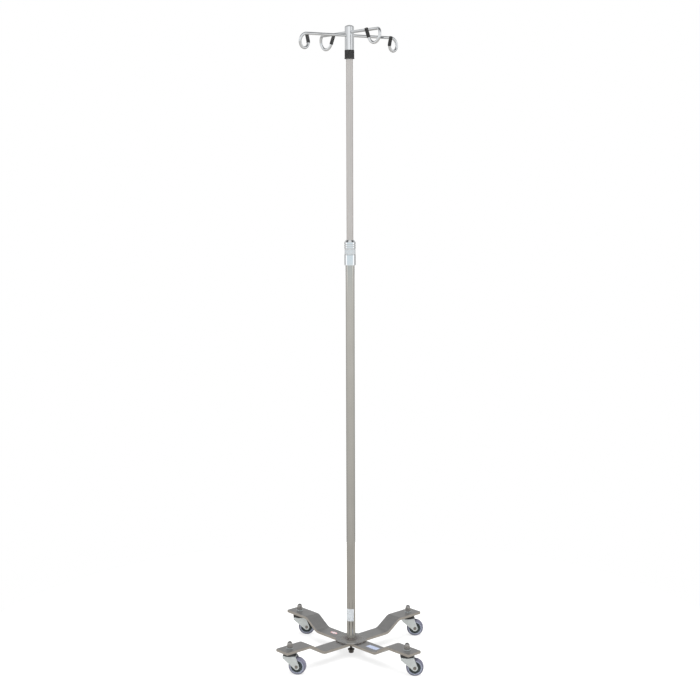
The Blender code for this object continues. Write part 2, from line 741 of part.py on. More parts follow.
def build_hooks(parent):
    rods = {
        "lower": (LOWER_ROD_Z, ROD_TURN, ("right", "left")),
        "upper": (UPPER_ROD_Z, ROD_TURN + pi / 2, ("rear", "front")),
    }
    for name, (height, turn, sides) in rods.items():
        near, far = hook_points(turn, height), hook_points(turn + pi, height)
        add_part("hook_rod_" + name, wire_mesh(far[::-1] + near, ROD_RADIUS), CHROME, parent=parent)
        for side, angle in zip(sides, (turn, turn + pi)):
            add_part("hook_tip_" + side, tip_mesh(angle, height), BLACK_PLASTIC, parent=parent)


def build_mast():
    """Everything that rises and turns: the tube foot slides, and the mast turns on it."""
    slide = add_axis("mast_slide_axis")
    add_part("tube_foot", turned_mesh(solid_from_axis(tube_foot_profile())), WHITE_PLASTIC, parent=slide)
    turn = add_axis("mast_turn_axis", parent=slide)
    upper = ring_profile(UPPER_BORE, UPPER_RADIUS, UPPER_BOTTOM, UPPER_TOP)
    add_part("upper_tube", turned_mesh(upper), SATIN, parent=turn)
    add_part("neck_bushing", turned_mesh(neck_profile()), BLACK_PLASTIC, parent=turn)
    add_part("head_tube", head_tube_mesh(), CHROME, parent=turn)
    add_part("head_cap", turned_mesh(head_cap_profile()), CHROME, parent=turn)
    build_hooks(turn)


build_hub()
build_corners()
build_pole()
build_mast()
bpy.context.view_layer.update()
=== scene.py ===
"""IV drip stand: finely shaped and finished pieces over the stand's CAD frame, on a plain studio floor.

Metres, +Z up, front towards -Y. Every piece's object sits at the origin and rides on a body of the frame.
"""
from math import atan2, cos, pi, radians, sin, sqrt, tan

import bmesh
import bpy
from bpy.props import FloatProperty, FloatVectorProperty, IntProperty, PointerProperty
from mathutils import Matrix, Vector


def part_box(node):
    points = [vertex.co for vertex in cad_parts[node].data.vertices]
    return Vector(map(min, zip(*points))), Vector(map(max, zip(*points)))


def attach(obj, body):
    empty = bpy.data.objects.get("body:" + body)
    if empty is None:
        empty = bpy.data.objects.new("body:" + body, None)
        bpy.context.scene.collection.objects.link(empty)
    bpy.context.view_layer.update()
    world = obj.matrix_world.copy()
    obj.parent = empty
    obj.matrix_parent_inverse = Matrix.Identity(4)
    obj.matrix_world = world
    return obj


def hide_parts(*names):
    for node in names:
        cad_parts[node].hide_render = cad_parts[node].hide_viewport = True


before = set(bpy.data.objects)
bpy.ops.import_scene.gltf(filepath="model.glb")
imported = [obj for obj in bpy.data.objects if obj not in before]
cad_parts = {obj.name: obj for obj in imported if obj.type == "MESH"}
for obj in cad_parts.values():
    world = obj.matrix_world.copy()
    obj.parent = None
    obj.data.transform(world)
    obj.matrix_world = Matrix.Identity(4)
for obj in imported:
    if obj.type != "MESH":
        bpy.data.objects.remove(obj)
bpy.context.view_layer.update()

bl_info = {
    "name": "IV drip stand",
    "version": (1, 0, 0),
    "blender": (4, 5, 0),
    "location": "3D View > Sidebar > Drip stand",
    "description": "Builds the pieces of an IV drip stand and its studio",
    "category": "Object",
}

GAP = 0.0003

# corner name: direction of its leg, and the way its caster trails, from +X
CORNERS = {
    "front_left": (radians(-135), radians(-10)),
    "front_right": (radians(-45), 0.0),
    "rear_left": (radians(135), 0.0),
    "rear_right": (radians(45), 0.0),
}

# hook rods: name, height of its axis, turn about the pole, and its two tips
ROD_RADIUS = 0.00397
RODS = (
    ("lower", 1.7992, radians(36), ("right", "left")),
    ("upper", 1.8080, radians(126), ("rear", "front")),
)
LOOP_REACH = 0.1405
LOOP_HALF_WIDTH = 0.0172
LOOP_HALF_HEIGHT = 0.0192
LOOP_SHIFT = 0.0195
LOOP_ANGLE = radians(270)
TIP_LEAN = 0.0070

# leg bar: low at the hub, raised over the casters
LEG_WIDTH = 0.0500
LEG_THICKNESS = 0.0080
LEG_LOW_TOP = 0.0432
LEG_HIGH_TOP = 0.0740
LEG_BEND_START = 0.1275
LEG_BEND_END = 0.1740
LEG_END = 0.2670
LEG_BEND_RADIUS = 0.028
LEG_CORNER_RADIUS = 0.0015
STEM_CIRCLE = 0.2365
STUD_HOLE = 0.0053

# pole tubes, slide lock and head
LOWER_WALL = 0.00165
UPPER_WALL = 0.001225
LOCK_BORE = 0.0099
LOCK_NECK_RADIUS = 0.0129
SLEEVE_LIP = 0.0068
SLEEVE_CHAMFER_WIDTH = 0.0040
SLEEVE_CHAMFER_HEIGHT = 0.0062
GROOVE_HEIGHTS = (1.2154, 1.2097, 1.2040)
GROOVE_HALF_WIDTH = 0.0009
GROOVE_FLOOR_HALF_WIDTH = 0.0002
GROOVE_DEPTH = 0.0004
GRIP_TOP = 1.2024
GRIP_LOW = 1.1882
GRIP_DEPTH = 0.0003
HEAD_BORE = 0.01105

# hub
HUB_RADIUS = 0.0465
HUB_BOSS_RADIUS = 0.0240
SPIGOT_RADIUS = 0.01075
HUB_BOLT_HOLE = 0.0043
HUB_BOLT_SHANK = 0.00372
HUB_BOLT_FLATS = 0.0130
RIPPLE_LEAN = radians(14)

# caster and its fixings
TRAIL = 0.0220
AXLE_HEIGHT = 0.0250
AXLE_RADIUS = 0.0030
NUT_FLATS = 0.0155
NUT_HEX_HEIGHT = 0.0082
# the seal's tall black skirt is partly painted shade for the gap between leg and fork
SEAL_BORE = 0.0138
SEAL_SKIRT_BORE = 0.0170
SEAL_WEB = 0.0050
CORE_RADIUS = 0.0168


# ---------------------------------------------------------------- frame sizes
def radius_of(node):
    """Outer radius of a round CAD node that stands upright."""
    low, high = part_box(node)
    return (high[0] - low[0]) / 2


def heights_of(node):
    """Lowest and highest Z of a CAD node."""
    low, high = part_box(node)
    return low[2], high[2]


def corner_place(corner):
    """The swivel axis of a corner's caster, on the floor."""
    low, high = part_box("caster_stem_" + corner)
    return Vector(((low[0] + high[0]) / 2, (low[1] + high[1]) / 2, 0))


# ---------------------------------------------------------------- outlines
def arc(centre, radius, start, end, steps):
    """Points on an arc, from the angle start to the angle end."""
    angles = [start + (end - start) * i / steps for i in range(steps + 1)]
    return [(centre[0] + radius * cos(a), centre[1] + radius * sin(a)) for a in angles]


def rounded_corner(before, corner, after, radius, steps):
    """The arc that replaces one corner of a path."""
    corner = Vector(corner)
    back = (Vector(before) - corner).normalized()
    ahead = (Vector(after) - corner).normalized()
    half_angle = back.angle(ahead) / 2
    centre = corner + (back + ahead).normalized() * (radius / sin(half_angle))
    start = corner + back * (radius / tan(half_angle)) - centre
    end = corner + ahead * (radius / tan(half_angle)) - centre
    first = atan2(start.y, start.x)
    sweep = (atan2(end.y, end.x) - first + pi) % (2 * pi) - pi
    return arc(centre, radius, first, first + sweep, steps)


def eased(outline, ease, steps=3, ring=False):
    """The outline with each of its corners rounded off."""
    result = []
    last = len(outline) - 1
    for i, place in enumerate(outline):
        if not ring and i in (0, last):
            result.append(tuple(place))
            continue
        corner = Vector(place)
        back = Vector(outline[i - 1]) - corner
        ahead = Vector(outline[(i + 1) % (last + 1)]) - corner
        reach = min(ease, back.length * 0.45, ahead.length * 0.45)
        start = corner + back.normalized() * reach
        end = corner + ahead.normalized() * reach
        for j in range(steps + 1):
            t = j / steps
            result.append(tuple(start * (1 - t) ** 2 + corner * (2 * t * (1 - t)) + end * t ** 2))
    return result


def tube_outline(bore, radius, bottom, top):
    """A tube wall, down its outer side and back up its bore."""
    return [(bore, top), (radius, top), (radius, bottom), (bore, bottom)]


# ---------------------------------------------------------------- meshes
def finished_mesh(shape, name="skin"):
    """The mesh of a closed shape, with its faces turned outwards."""
    bmesh.ops.remove_doubles(shape, verts=shape.verts, dist=1e-7)
    bmesh.ops.recalc_face_normals(shape, faces=shape.faces)
    mesh = bpy.data.meshes.new(name)
    shape.to_mesh(mesh)
    shape.free()
    return mesh


def turned(outline, steps, ring=False):
    """An outline of (radius, height) points turned about Z. A ring's outline closes on itself."""
    shape = bmesh.new()
    rows = []
    for radius, height in outline:
        if radius < 1e-7:
            rows.append([shape.verts.new((0, 0, height))] * steps)
        else:
            angles = [2 * pi * i / steps for i in range(steps)]
            rows.append([shape.verts.new((radius * cos(a), radius * sin(a), height)) for a in angles])
    pairs = list(zip(rows, rows[1:])) + ([(rows[-1], rows[0])] if ring else [])
    for upper, lower in pairs:
        for i in range(steps):
            j = (i + 1) % steps
            corners = [upper[i], lower[i], lower[j], upper[j]]
            shape.faces.new(list(dict.fromkeys(corners)))
    return finished_mesh(shape)


def skinned(sections):
    """A closed skin through sections of equal point counts. Its UV map runs round and along it, in metres."""
    shape = bmesh.new()
    grain = shape.loops.layers.uv.new("grain")
    rings = [[shape.verts.new(point) for point in section] for section in sections]
    count = len(sections[0])
    along = 0.0
    for k in range(len(rings) - 1):
        step = max((sections[k + 1][0] - sections[k][0]).length, 1e-6)
        around = 0.0
        for i in range(count):
            j = (i + 1) % count
            width = (sections[0][j] - sections[0][i]).length
            face = shape.faces.new((rings[k][i], rings[k][j], rings[k + 1][j], rings[k + 1][i]))
            right, far = around + width, along + step
            for loop, place in zip(face.loops, ((around, along), (right, along), (right, far), (around, far))):
                loop[grain].uv = place
            around = right
        along += step
    for ring, far in ((rings[0], 0.0), (rings[-1], along)):
        face = shape.faces.new(ring)
        for i, loop in enumerate(face.loops):
            loop[grain].uv = (i * 0.001, far)
    return finished_mesh(shape)


def rod(points, radius, sides):
    """A round bar along the points. Its radius is one number, or one for each point."""
    radii = radius if isinstance(radius, list) else [radius] * len(points)
    sections = []
    across = (points[1] - points[0]).orthogonal().normalized()
    last = len(points) - 1
    for i, point in enumerate(points):
        ahead = (points[min(i + 1, last)] - points[max(i - 1, 0)]).normalized()
        across = (across - ahead * across.dot(ahead)).normalized()
        other = ahead.cross(across)
        angles = [2 * pi * j / sides for j in range(sides)]
        sections.append([point + (across * cos(a) + other * sin(a)) * radii[i] for a in angles])
    return skinned(sections)


def plate(outline, depth):
    """A flat outline in XY, thickened by half the depth to each side."""
    shape = bmesh.new()
    top = [shape.verts.new((x, y, depth / 2)) for x, y in outline]
    bottom = [shape.verts.new((x, y, -depth / 2)) for x, y in outline]
    shape.faces.new(top)
    shape.faces.new(bottom[::-1])
    for i in range(len(outline)):
        j = (i + 1) % len(outline)
        shape.faces.new((top[i], bottom[i], bottom[j], top[j]))
    return finished_mesh(shape)


def moved(mesh, *steps):
    """The mesh after the steps, the first one first."""
    for step in steps:
        mesh.transform(step)
    return mesh


def shift(x, y, z):
    return Matrix.Translation((x, y, z))


def turn(angle, axis="Z"):
    return Matrix.Rotation(angle, 4, axis)


def drum(radius, bottom, top, sides=48):
    """A solid cylinder on Z."""
    return turned([(0, top), (radius, top), (radius, bottom), (0, bottom)], sides)


def baked(item):
    """The evaluated mesh of a work object, which is then removed."""
    graph = bpy.context.evaluated_depsgraph_get()
    graph.update()
    mesh = bpy.data.meshes.new_from_object(item.evaluated_get(graph))
    bpy.data.objects.remove(item, do_unlink=True)
    return mesh


def work_object(mesh):
    item = bpy.data.objects.new("work", mesh)
    bpy.context.scene.collection.objects.link(item)
    return item


def combined(mesh, other, operation):
    """Boolean of two meshes: DIFFERENCE, UNION or INTERSECT."""
    item, cutter = work_object(mesh), work_object(other)
    step = item.modifiers.new("cut", "BOOLEAN")
    step.operation = operation
    step.solver = "EXACT"
    step.object = cutter
    result = baked(item)
    bpy.data.objects.remove(cutter, do_unlink=True)
    return result


def softened(mesh, width, steps=2, angle=30):
    """The mesh with its sharp edges rounded."""
    item = work_object(mesh)
    bevel = item.modifiers.new("edges", "BEVEL")
    bevel.width = width
    bevel.segments = steps
    bevel.limit_method = "ANGLE"
    bevel.angle_limit = radians(angle)
    return baked(item)


def joined(*meshes):
    """Several closed meshes as one. Each keeps its own material."""
    shape = bmesh.new()
    materials = []
    for mesh in meshes:
        start = len(shape.faces)
        shape.from_mesh(mesh)
        shape.faces.ensure_lookup_table()
        for face in shape.faces[start:]:
            face.material_index += len(materials)
        materials += list(mesh.materials) or [None]
    result = bpy.data.meshes.new("joined")
    shape.to_mesh(result)
    shape.free()
    for material in materials:
        result.materials.append(material)
    return result


def coated(mesh, finish):
    """The mesh with one finish all over."""
    mesh.materials.clear()
    mesh.materials.append(finish)
    for face in mesh.polygons:
        face.material_index = 0
    return mesh


def evened(mesh):
    """The mesh with its normals weighted by face size, so that straight walls stay straight in reflections."""
    item = work_object(mesh)
    even = item.modifiers.new("normals", "WEIGHTED_NORMAL")
    even.keep_sharp = True
    even.weight = 100
    return baked(item)


def add_piece(name, mesh, body, replaces=(), finish=None, sharp=35):
    """One finished piece, which rides on its body and stands for its CAD nodes."""
    if finish:
        coated(mesh, finish)
    mesh.shade_smooth()
    mesh.set_sharp_from_angle(angle=radians(sharp))
    mesh = evened(mesh)
    mesh.name = name
    item = bpy.data.objects.new(name, mesh)
    bpy.context.scene.collection.objects.link(item)
    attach(item, body)
    if replaces:
        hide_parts(*replaces)
    return item


# ---------------------------------------------------------------- node trees
def add_node(tree, kind, inputs=None, **settings):
    """A node with its settings. Its inputs are plain values or other nodes' outputs."""
    item = tree.nodes.new(kind)
    for key, value in settings.items():
        setattr(item, key, value)
    for key, value in (inputs or {}).items():
        if isinstance(value, bpy.types.NodeSocket):
            tree.links.new(value, item.inputs[key])
        else:
            item.inputs[key].default_value = value
    return item


def new_shape_tree(name, inputs):
    """An empty Geometry Nodes tree with named inputs, and its group input node."""
    tree = bpy.data.node_groups.new(name, "GeometryNodeTree")
    tree.interface.new_socket(name="Geometry", in_out="OUTPUT", socket_type="NodeSocketGeometry")
    for label, kind in inputs:
        tree.interface.new_socket(name=label, in_out="INPUT", socket_type="NodeSocket" + kind)
    return tree, tree.nodes.new("NodeGroupInput")


def close_shape_tree(tree, geometry, material):
    """Ends a tree in real, finished geometry."""
    real = add_node(tree, "GeometryNodeRealizeInstances", {"Geometry": geometry})
    coat = add_node(tree, "GeometryNodeSetMaterial", {"Geometry": real.outputs[0], "Material": material})
    add_node(tree, "NodeGroupOutput", {"Geometry": coat.outputs[0]})


def row_tree():
    """Copies of a small piece, evenly spaced along a path and turned to follow it."""
    tree, given = new_shape_tree("row_along_path", (
        ("Path", "Geometry"), ("Piece", "Object"), ("Count", "Int"), ("Tilt", "Float"), ("Material", "Material"),
    ))
    path = add_node(tree, "GeometryNodeMeshToCurve", {"Mesh": given.outputs["Path"]})
    places = add_node(tree, "GeometryNodeResampleCurve", {"Curve": path.outputs[0], "Count": given.outputs["Count"]})
    tangent = add_node(tree, "GeometryNodeInputTangent")
    follow = add_node(
        tree, "FunctionNodeAlignRotationToVector", {"Vector": tangent.outputs[0]}, axis="X", pivot_axis="Z"
    )
    lean = add_node(tree, "ShaderNodeCombineXYZ", {"Z": given.outputs["Tilt"]})
    leaning = add_node(
        tree, "FunctionNodeRotateRotation",
        {"Rotation": follow.outputs[0], "Rotate By": lean.outputs[0]}, rotation_space="LOCAL"
    )
    piece = add_node(tree, "GeometryNodeObjectInfo", {"Object": given.outputs["Piece"]})
    row = add_node(tree, "GeometryNodeInstanceOnPoints", {
        "Points": places.outputs[0], "Instance": piece.outputs["Geometry"], "Rotation": leaning.outputs[0],
    })
    close_shape_tree(tree, row.outputs[0], given.outputs["Material"])
    return tree


def thread_tree():
    """A screw thread: a ridge that winds up a shank."""
    tree, given = new_shape_tree("screw_thread", (
        ("Radius", "Float"), ("Turns", "Float"), ("Length", "Float"), ("Ridge", "Float"), ("Material", "Material"),
    ))
    winding = add_node(tree, "GeometryNodeCurveSpiral", {
        "Resolution": 24, "Rotations": given.outputs["Turns"], "Start Radius": given.outputs["Radius"],
        "End Radius": given.outputs["Radius"], "Height": given.outputs["Length"],
    })
    ridge = add_node(tree, "GeometryNodeCurvePrimitiveCircle", {"Resolution": 4, "Radius": given.outputs["Ridge"]})
    skin = add_node(tree, "GeometryNodeCurveToMesh", {
        "Curve": winding.outputs[0], "Profile Curve": ridge.outputs[0], "Fill Caps": True,
    })
    close_shape_tree(tree, skin.outputs[0], given.outputs["Material"])
    return tree


def shaped(tree_maker, mesh, **values):
    """The plain mesh that a tree makes from a mesh and its named inputs."""
    known = bpy.data.node_groups
    name = {"row_tree": "row_along_path", "thread_tree": "screw_thread"}[tree_maker.__name__]
    tree = known[name] if name in known else tree_maker()
    item = work_object(mesh)
    step = item.modifiers.new("shape", "NODES")
    step.node_group = tree
    for socket in tree.interface.items_tree:
        if socket.in_out == "INPUT" and socket.name in values:
            step[socket.identifier] = values[socket.name]
    return baked(item)


def row_of(piece_mesh, path, finish, tilt=0.0, ring=True):
    """The piece repeated at the points of the path."""
    edges = [(i, i + 1) for i in range(len(path) - 1)] + ([(len(path) - 1, 0)] if ring else [])
    line = bpy.data.meshes.new("path")
    line.from_pydata([tuple(point) for point in path], edges, [])
    piece = work_object(piece_mesh)
    mesh = shaped(row_tree, line, Piece=piece, Count=len(path), Tilt=tilt, Material=finish)
    bpy.data.objects.remove(piece, do_unlink=True)
    return coated(mesh, finish)


def ring_path(radius, height, count):
    """Evenly spaced points on a level circle."""
    angles = [2 * pi * i / count for i in range(count)]
    return [Vector((radius * cos(a), radius * sin(a), height)) for a in angles]


def bead_mesh(length, width, height, rings=5, sides=8):
    """A small egg: along X, across Y, up Z."""
    points = [(sin(pi * i / rings), cos(pi * i / rings)) for i in range(rings + 1)]
    points[0], points[-1] = (0, 1), (0, -1)
    mesh = turned(points, sides)
    return moved(mesh, Matrix.Diagonal((length / 2, width / 2, height / 2, 1)))


def rib_mesh(width, proud, length):
    """An upright half-round rib with rounded ends, standing on a wall that faces -Y locally."""
    half = length / 2
    sections = []
    for share, height in ((0.25, -half), (0.85, -half + proud), (1, -half + 2 * proud),
                          (1, half - 2 * proud), (0.85, half - proud), (0.25, half)):
        sections.append([
            Vector((width / 2 * cos(a), share * proud * sin(a) if sin(a) > 0 else -proud * 0.8, height))
            for a in (radians(-20), radians(20), radians(60), radians(90), radians(120), radians(160), radians(200))
        ])
    return skinned(sections)


def thread_mesh(radius, bottom, top, pitch, ridge, finish):
    """A thread's ridge round a shank on Z."""
    blank = bpy.data.meshes.new("blank")
    mesh = shaped(
        thread_tree, blank, Radius=radius, Turns=(top - bottom) / pitch, Length=top - bottom, Ridge=ridge,
        Material=finish
    )
    return coated(moved(mesh, shift(0, 0, bottom)), finish)


# ---------------------------------------------------------------- finishes
def noise(tree, scale, stretch=(1, 1, 1), detail=3.0, source="Object", rough=0.55):
    """Noise that is stretched where stretch is small. Scale is in patches per metre."""
    place = add_node(tree, "ShaderNodeTexCoord")
    mapping = add_node(tree, "ShaderNodeMapping", {"Vector": place.outputs[source], "Scale": stretch})
    return add_node(tree, "ShaderNodeTexNoise", {
        "Vector": mapping.outputs[0], "Scale": scale, "Detail": detail, "Roughness": rough,
    }).outputs[0]


def from_pole(tree):
    """Distance from the pole's axis, in metres."""
    place = add_node(tree, "ShaderNodeTexCoord")
    flat = add_node(tree, "ShaderNodeVectorMath", {0: place.outputs["Object"], 1: (1, 1, 0)}, operation="MULTIPLY")
    return add_node(tree, "ShaderNodeVectorMath", {0: flat.outputs[0]}, operation="LENGTH").outputs["Value"]


def rescaled(tree, value, from_low, from_high, low, high):
    return add_node(tree, "ShaderNodeMapRange", {
        "Value": value, "From Min": from_low, "From Max": from_high, "To Min": low, "To Max": high,
    }).outputs[0]


def coloured(tree, value, *stops):
    """A colour for each stop of the value."""
    ramp = add_node(tree, "ShaderNodeValToRGB", {"Fac": value})
    band = ramp.color_ramp
    for i, (place, colour) in enumerate(stops):
        stop = band.elements[i] if i < 2 else band.elements.new(place)
        stop.position = place
        stop.color = (*colour, 1)
    return ramp.outputs[0]


def greys(*stops):
    """Ramp stops of plain grey, or of a colour where one is given."""
    return [(place, (tone,) * 3 if isinstance(tone, float) else tone) for place, tone in stops]


def multiplied(tree, colour, other):
    mix = add_node(tree, "ShaderNodeMix", {0: 1.0, 6: colour, 7: other}, data_type="RGBA", blend_type="MULTIPLY")
    return mix.outputs[2]


def blended(tree, factor, colour, other):
    mix = add_node(tree, "ShaderNodeMix", {0: factor, 6: colour, 7: other}, data_type="RGBA")
    return mix.outputs[2]


def shade(colour, by):
    return tuple(min(max(c * by, 0), 1) for c in colour)


def new_finish(name, **constants):
    """A material whose even values are set on the shader. Returns it with its tree and shader."""
    material = bpy.data.materials.new(name)
    material.use_nodes = True
    tree = material.node_tree
    surface = tree.nodes["Principled BSDF"]
    for key, value in constants.items():
        surface.inputs[key.replace("_", " ")].default_value = value
    return material, tree, surface


def dress(tree, surface, colour, gloss, reliefs):
    """Links a finish's colour, roughness and bumps. A relief is (height, strength, depth in metres)."""
    tree.links.new(colour, surface.inputs["Base Color"])
    tree.links.new(gloss, surface.inputs["Roughness"])
    normal = None
    for height, strength, depth in reliefs:
        inputs = {"Height": height, "Strength": strength, "Distance": depth}
        if normal:
            inputs["Normal"] = normal
        normal = add_node(tree, "ShaderNodeBump", inputs).outputs[0]
    tree.links.new(normal, surface.inputs["Normal"])


def metal_finish(name, tint, low, high, fine, stretch, source="Object", depth=0.00002, wear=0.12, patches=40):
    """Metal with a grain: fine lines or specks, slow patches in its colour, and worn gloss."""
    material, tree, surface = new_finish(name, Metallic=1.0)
    lines = noise(tree, fine, stretch, 4.0, source)
    slow = noise(tree, patches, source=source)
    colour = multiplied(
        tree,
        coloured(tree, lines, (0.3, shade(tint, 1 - wear)), (0.7, shade(tint, 1 + wear * 0.5))),
        coloured(tree, slow, (0.3, (1 - wear / 2,) * 3), (0.7, (1, 1, 1))),
    )
    gloss = rescaled(tree, lines, 0.25, 0.75, low, high)
    dress(tree, surface, colour, gloss, [(slow, 0.15, depth * 4), (lines, 0.35, depth)])
    return material


def plastic_finish(name, tint, low, high, fine, depth, sheen=0.5, wear=0.2, patches=60):
    """Moulded plastic or rubber: a fine texture, faint scuffs and uneven gloss."""
    material, tree, surface = new_finish(name, Specular_IOR_Level=sheen)
    specks = noise(tree, fine, detail=3.0)
    slow = noise(tree, patches, detail=4.0)
    colour = multiplied(
        tree,
        coloured(tree, slow, (0.35, shade(tint, 1 - wear)), (0.7, shade(tint, 1 + wear))),
        coloured(tree, specks, (0.3, (0.9, 0.9, 0.9)), (0.6, (1, 1, 1))),
    )
    dress(tree, surface, colour, rescaled(tree, slow, 0.3, 0.7, low, high), [(specks, 0.4, depth)])
    return material


def hub_finish(tint, heat):
    """Brushed steel with a heat tint round the weld."""
    material, tree, surface = new_finish("hub_steel", Metallic=1.0)
    lines = noise(tree, 1500, (0.06, 1, 1), 3.0)
    smudge = noise(tree, 70, detail=4.0)
    away = from_pole(tree)
    burnt = coloured(
        tree, rescaled(tree, away, 0.013, 0.034, 0, 1),
        (0.0, shade(heat, 0.8)), (1.0, (1, 1, 1)), (0.35, (0.72, 0.68, 0.70)), (0.6, (0.92, 0.88, 0.84)),
    )
    steel = coloured(tree, smudge, (0.35, shade(tint, 0.72)), (0.65, shade(tint, 1.08)))
    gloss = rescaled(tree, smudge, 0.3, 0.7, 0.22, 0.38)
    dress(tree, surface, multiplied(tree, steel, burnt), gloss, [(smudge, 0.2, 0.0002), (lines, 0.3, 0.00002)])
    return material


def weld_finish(tint):
    """Bright weld metal, blued where it was hot."""
    material, tree, surface = new_finish("weld_metal", Metallic=1.0)
    patches = noise(tree, 260, detail=3.0)
    specks = noise(tree, 2200, detail=3.0)
    colour = coloured(
        tree, patches, (0.3, shade(tint, 0.55)), (0.75, shade(tint, 1.15)), (0.5, shade(tint, 0.9)),
        (0.4, (tint[0] * 0.75, tint[1] * 0.62, tint[2] * 0.55)),
    )
    dress(tree, surface, colour, rescaled(tree, patches, 0.3, 0.7, 0.2, 0.42), [(specks, 0.3, 0.00005)])
    return material


def tread_finish(tint, ring):
    """Grey rubber: a paler side ring that is a painted highlight, a darker shoulder that is painted shade, and a
    scuffed running face.
    """
    material, tree, surface = new_finish("tread_rubber", Specular_IOR_Level=0.35)
    specks = noise(tree, 3200, detail=3.0)
    dust = noise(tree, 220, detail=5.0)
    place = add_node(tree, "ShaderNodeUVMap", uv_map="wheel")
    out = add_node(tree, "ShaderNodeSeparateXYZ", {"Vector": place.outputs[0]}).outputs["X"]
    # painted light by distance from the axle: the paler side ring is a painted highlight, the darker shoulder is
    # painted shade
    painted_light_bands = coloured(
        tree, rescaled(tree, out, 0.0165, 0.0255, 0, 1),
        (0.0, ring), (1.0, shade(tint, 1.0)), (0.36, ring), (0.48, shade(tint, 0.85)), (0.85, shade(tint, 0.72)),
    )
    worn = coloured(tree, dust, (0.35, (0.82, 0.82, 0.84)), (0.7, (1, 1, 1)))
    dress(tree, surface, multiplied(tree, painted_light_bands, worn), rescaled(tree, dust, 0.3, 0.7, 0.5, 0.72),
          [(dust, 0.25, 0.00008), (specks, 0.3, 0.00003)])
    return material


def label_finish(name, tint):
    """Glossy film label, slightly lifted and soiled."""
    material, tree, surface = new_finish(name, Specular_IOR_Level=0.5)
    soil = noise(tree, 180, detail=5.0)
    lift = noise(tree, 90, detail=2.0)
    colour = coloured(tree, soil, (0.35, shade(tint, 0.84)), (0.65, tint))
    dress(tree, surface, colour, rescaled(tree, soil, 0.3, 0.7, 0.22, 0.4), [(lift, 0.3, 0.0002)])
    return material


def colour_of(label, default, description):
    return FloatVectorProperty(
        name=label, description=description, subtype="COLOR", size=3, min=0, max=1, default=default
    )


class DripStandFinishes(bpy.types.PropertyGroup):
    """Colours of the stand's materials."""
    chrome: colour_of("Chrome", (0.82, 0.84, 0.86), "Tint of the polished chrome")
    upper_pole: colour_of("Upper pole", (0.73, 0.70, 0.68), "Tint of the satin upper tube")
    lower_pole: colour_of("Lower pole", (0.56, 0.55, 0.52), "Tint of the satin lower tube")
    nut: colour_of("Nuts", (0.44, 0.43, 0.42), "Tint of the stainless domed nuts")
    leg_steel: colour_of("Leg steel", (0.51, 0.505, 0.50), "Tint of the brushed legs")
    edge_steel: colour_of("Leg edges", (0.56, 0.53, 0.49), "Tint of the legs' sheared edges")
    weld: colour_of("Weld", (0.40, 0.385, 0.38), "Tint of the weld metal")
    heat: colour_of("Heat tint", (0.42, 0.34, 0.30), "Tint of the steel beside the weld")
    zinc: colour_of("Zinc", (0.66, 0.71, 0.72), "Tint of the zinc-plated casters")
    rivet: colour_of("Rivet", (0.34, 0.32, 0.30), "Tint of the caster rivets")
    dark_steel: colour_of("Dark steel", (0.045, 0.037, 0.032), "Colour of the oxidised hub bolt")
    black: colour_of("Black plastic", (0.005, 0.005, 0.006), "Colour of the moulded black pieces")
    core: colour_of("Wheel core", (0.028, 0.038, 0.040), "Colour of the wheels' moulded core")
    tread: colour_of("Tread", (0.14, 0.14, 0.185), "Colour of the wheels' rubber tread")
    # the tread's paler side ring is a painted highlight on its flat side
    tread_side: colour_of("Tread side", (0.215, 0.235, 0.29), "Colour of the tread's side ring")
    nylon: colour_of("Nylon", (0.78, 0.78, 0.75), "Colour of the glides inside the pole")
    paper: colour_of("Label", (0.43, 0.45, 0.47), "Colour of the blank pole label")
    film: colour_of("Leg label", (0.25, 0.28, 0.37), "Colour of the blank leg label")
    stamp: colour_of("Oval label", (0.48, 0.27, 0.28), "Rim colour of the oval label")
    faded: colour_of("Oval label centre", (0.36, 0.35, 0.36), "Colour inside the oval label's rim")


class DripStandDetails(bpy.types.PropertyGroup):
    """Fineness and small sizes of the stand's shapes."""
    round_steps: IntProperty(name="Round steps", description="Sides of a round piece", default=96, min=24, max=256)
    edge: FloatProperty(name="Edge", description="Rounding of machined edges", default=0.0004, unit="LENGTH")
    neck_ribs: IntProperty(name="Neck ribs", description="Ribs round the black bushing", default=40, min=8)
    grip_ribs: IntProperty(name="Grip ribs", description="Fine ribs round the lock sleeve", default=96, min=16)
    ripples: IntProperty(name="Weld ripples", description="Ripples in the pole's weld", default=54, min=12)
    thread_pitch: FloatProperty(
        name="Thread pitch", description="Pitch of the threads", default=0.00125, unit="LENGTH"
    )


class DripStandStage(bpy.types.PropertyGroup):
    """Camera and lights."""
    lens: FloatProperty(name="Lens", description="Focal length of the camera", default=70.54, unit="CAMERA")
    camera_place: FloatVectorProperty(
        name="Camera place", description="Where the camera stands", default=(0.1884, -3.9157, 1.4549),
        subtype="TRANSLATION", unit="LENGTH"
    )
    heading: FloatProperty(name="Heading", description="Camera's turn to its left", default=0.0483, unit="ROTATION")
    dip: FloatProperty(name="Dip", description="How far the camera looks down", default=0.1378, unit="ROTATION")
    roll: FloatProperty(name="Roll", description="Camera's roll", default=-0.003, unit="ROTATION")
    side_light: FloatProperty(name="Side light", description="Power of each side softbox", default=22, unit="POWER")
    top_light: FloatProperty(name="Top light", description="Power of the overhead softbox", default=330, unit="POWER")
    surround: FloatProperty(name="Surround", description="Brightness of the studio walls", default=1.0, min=0)


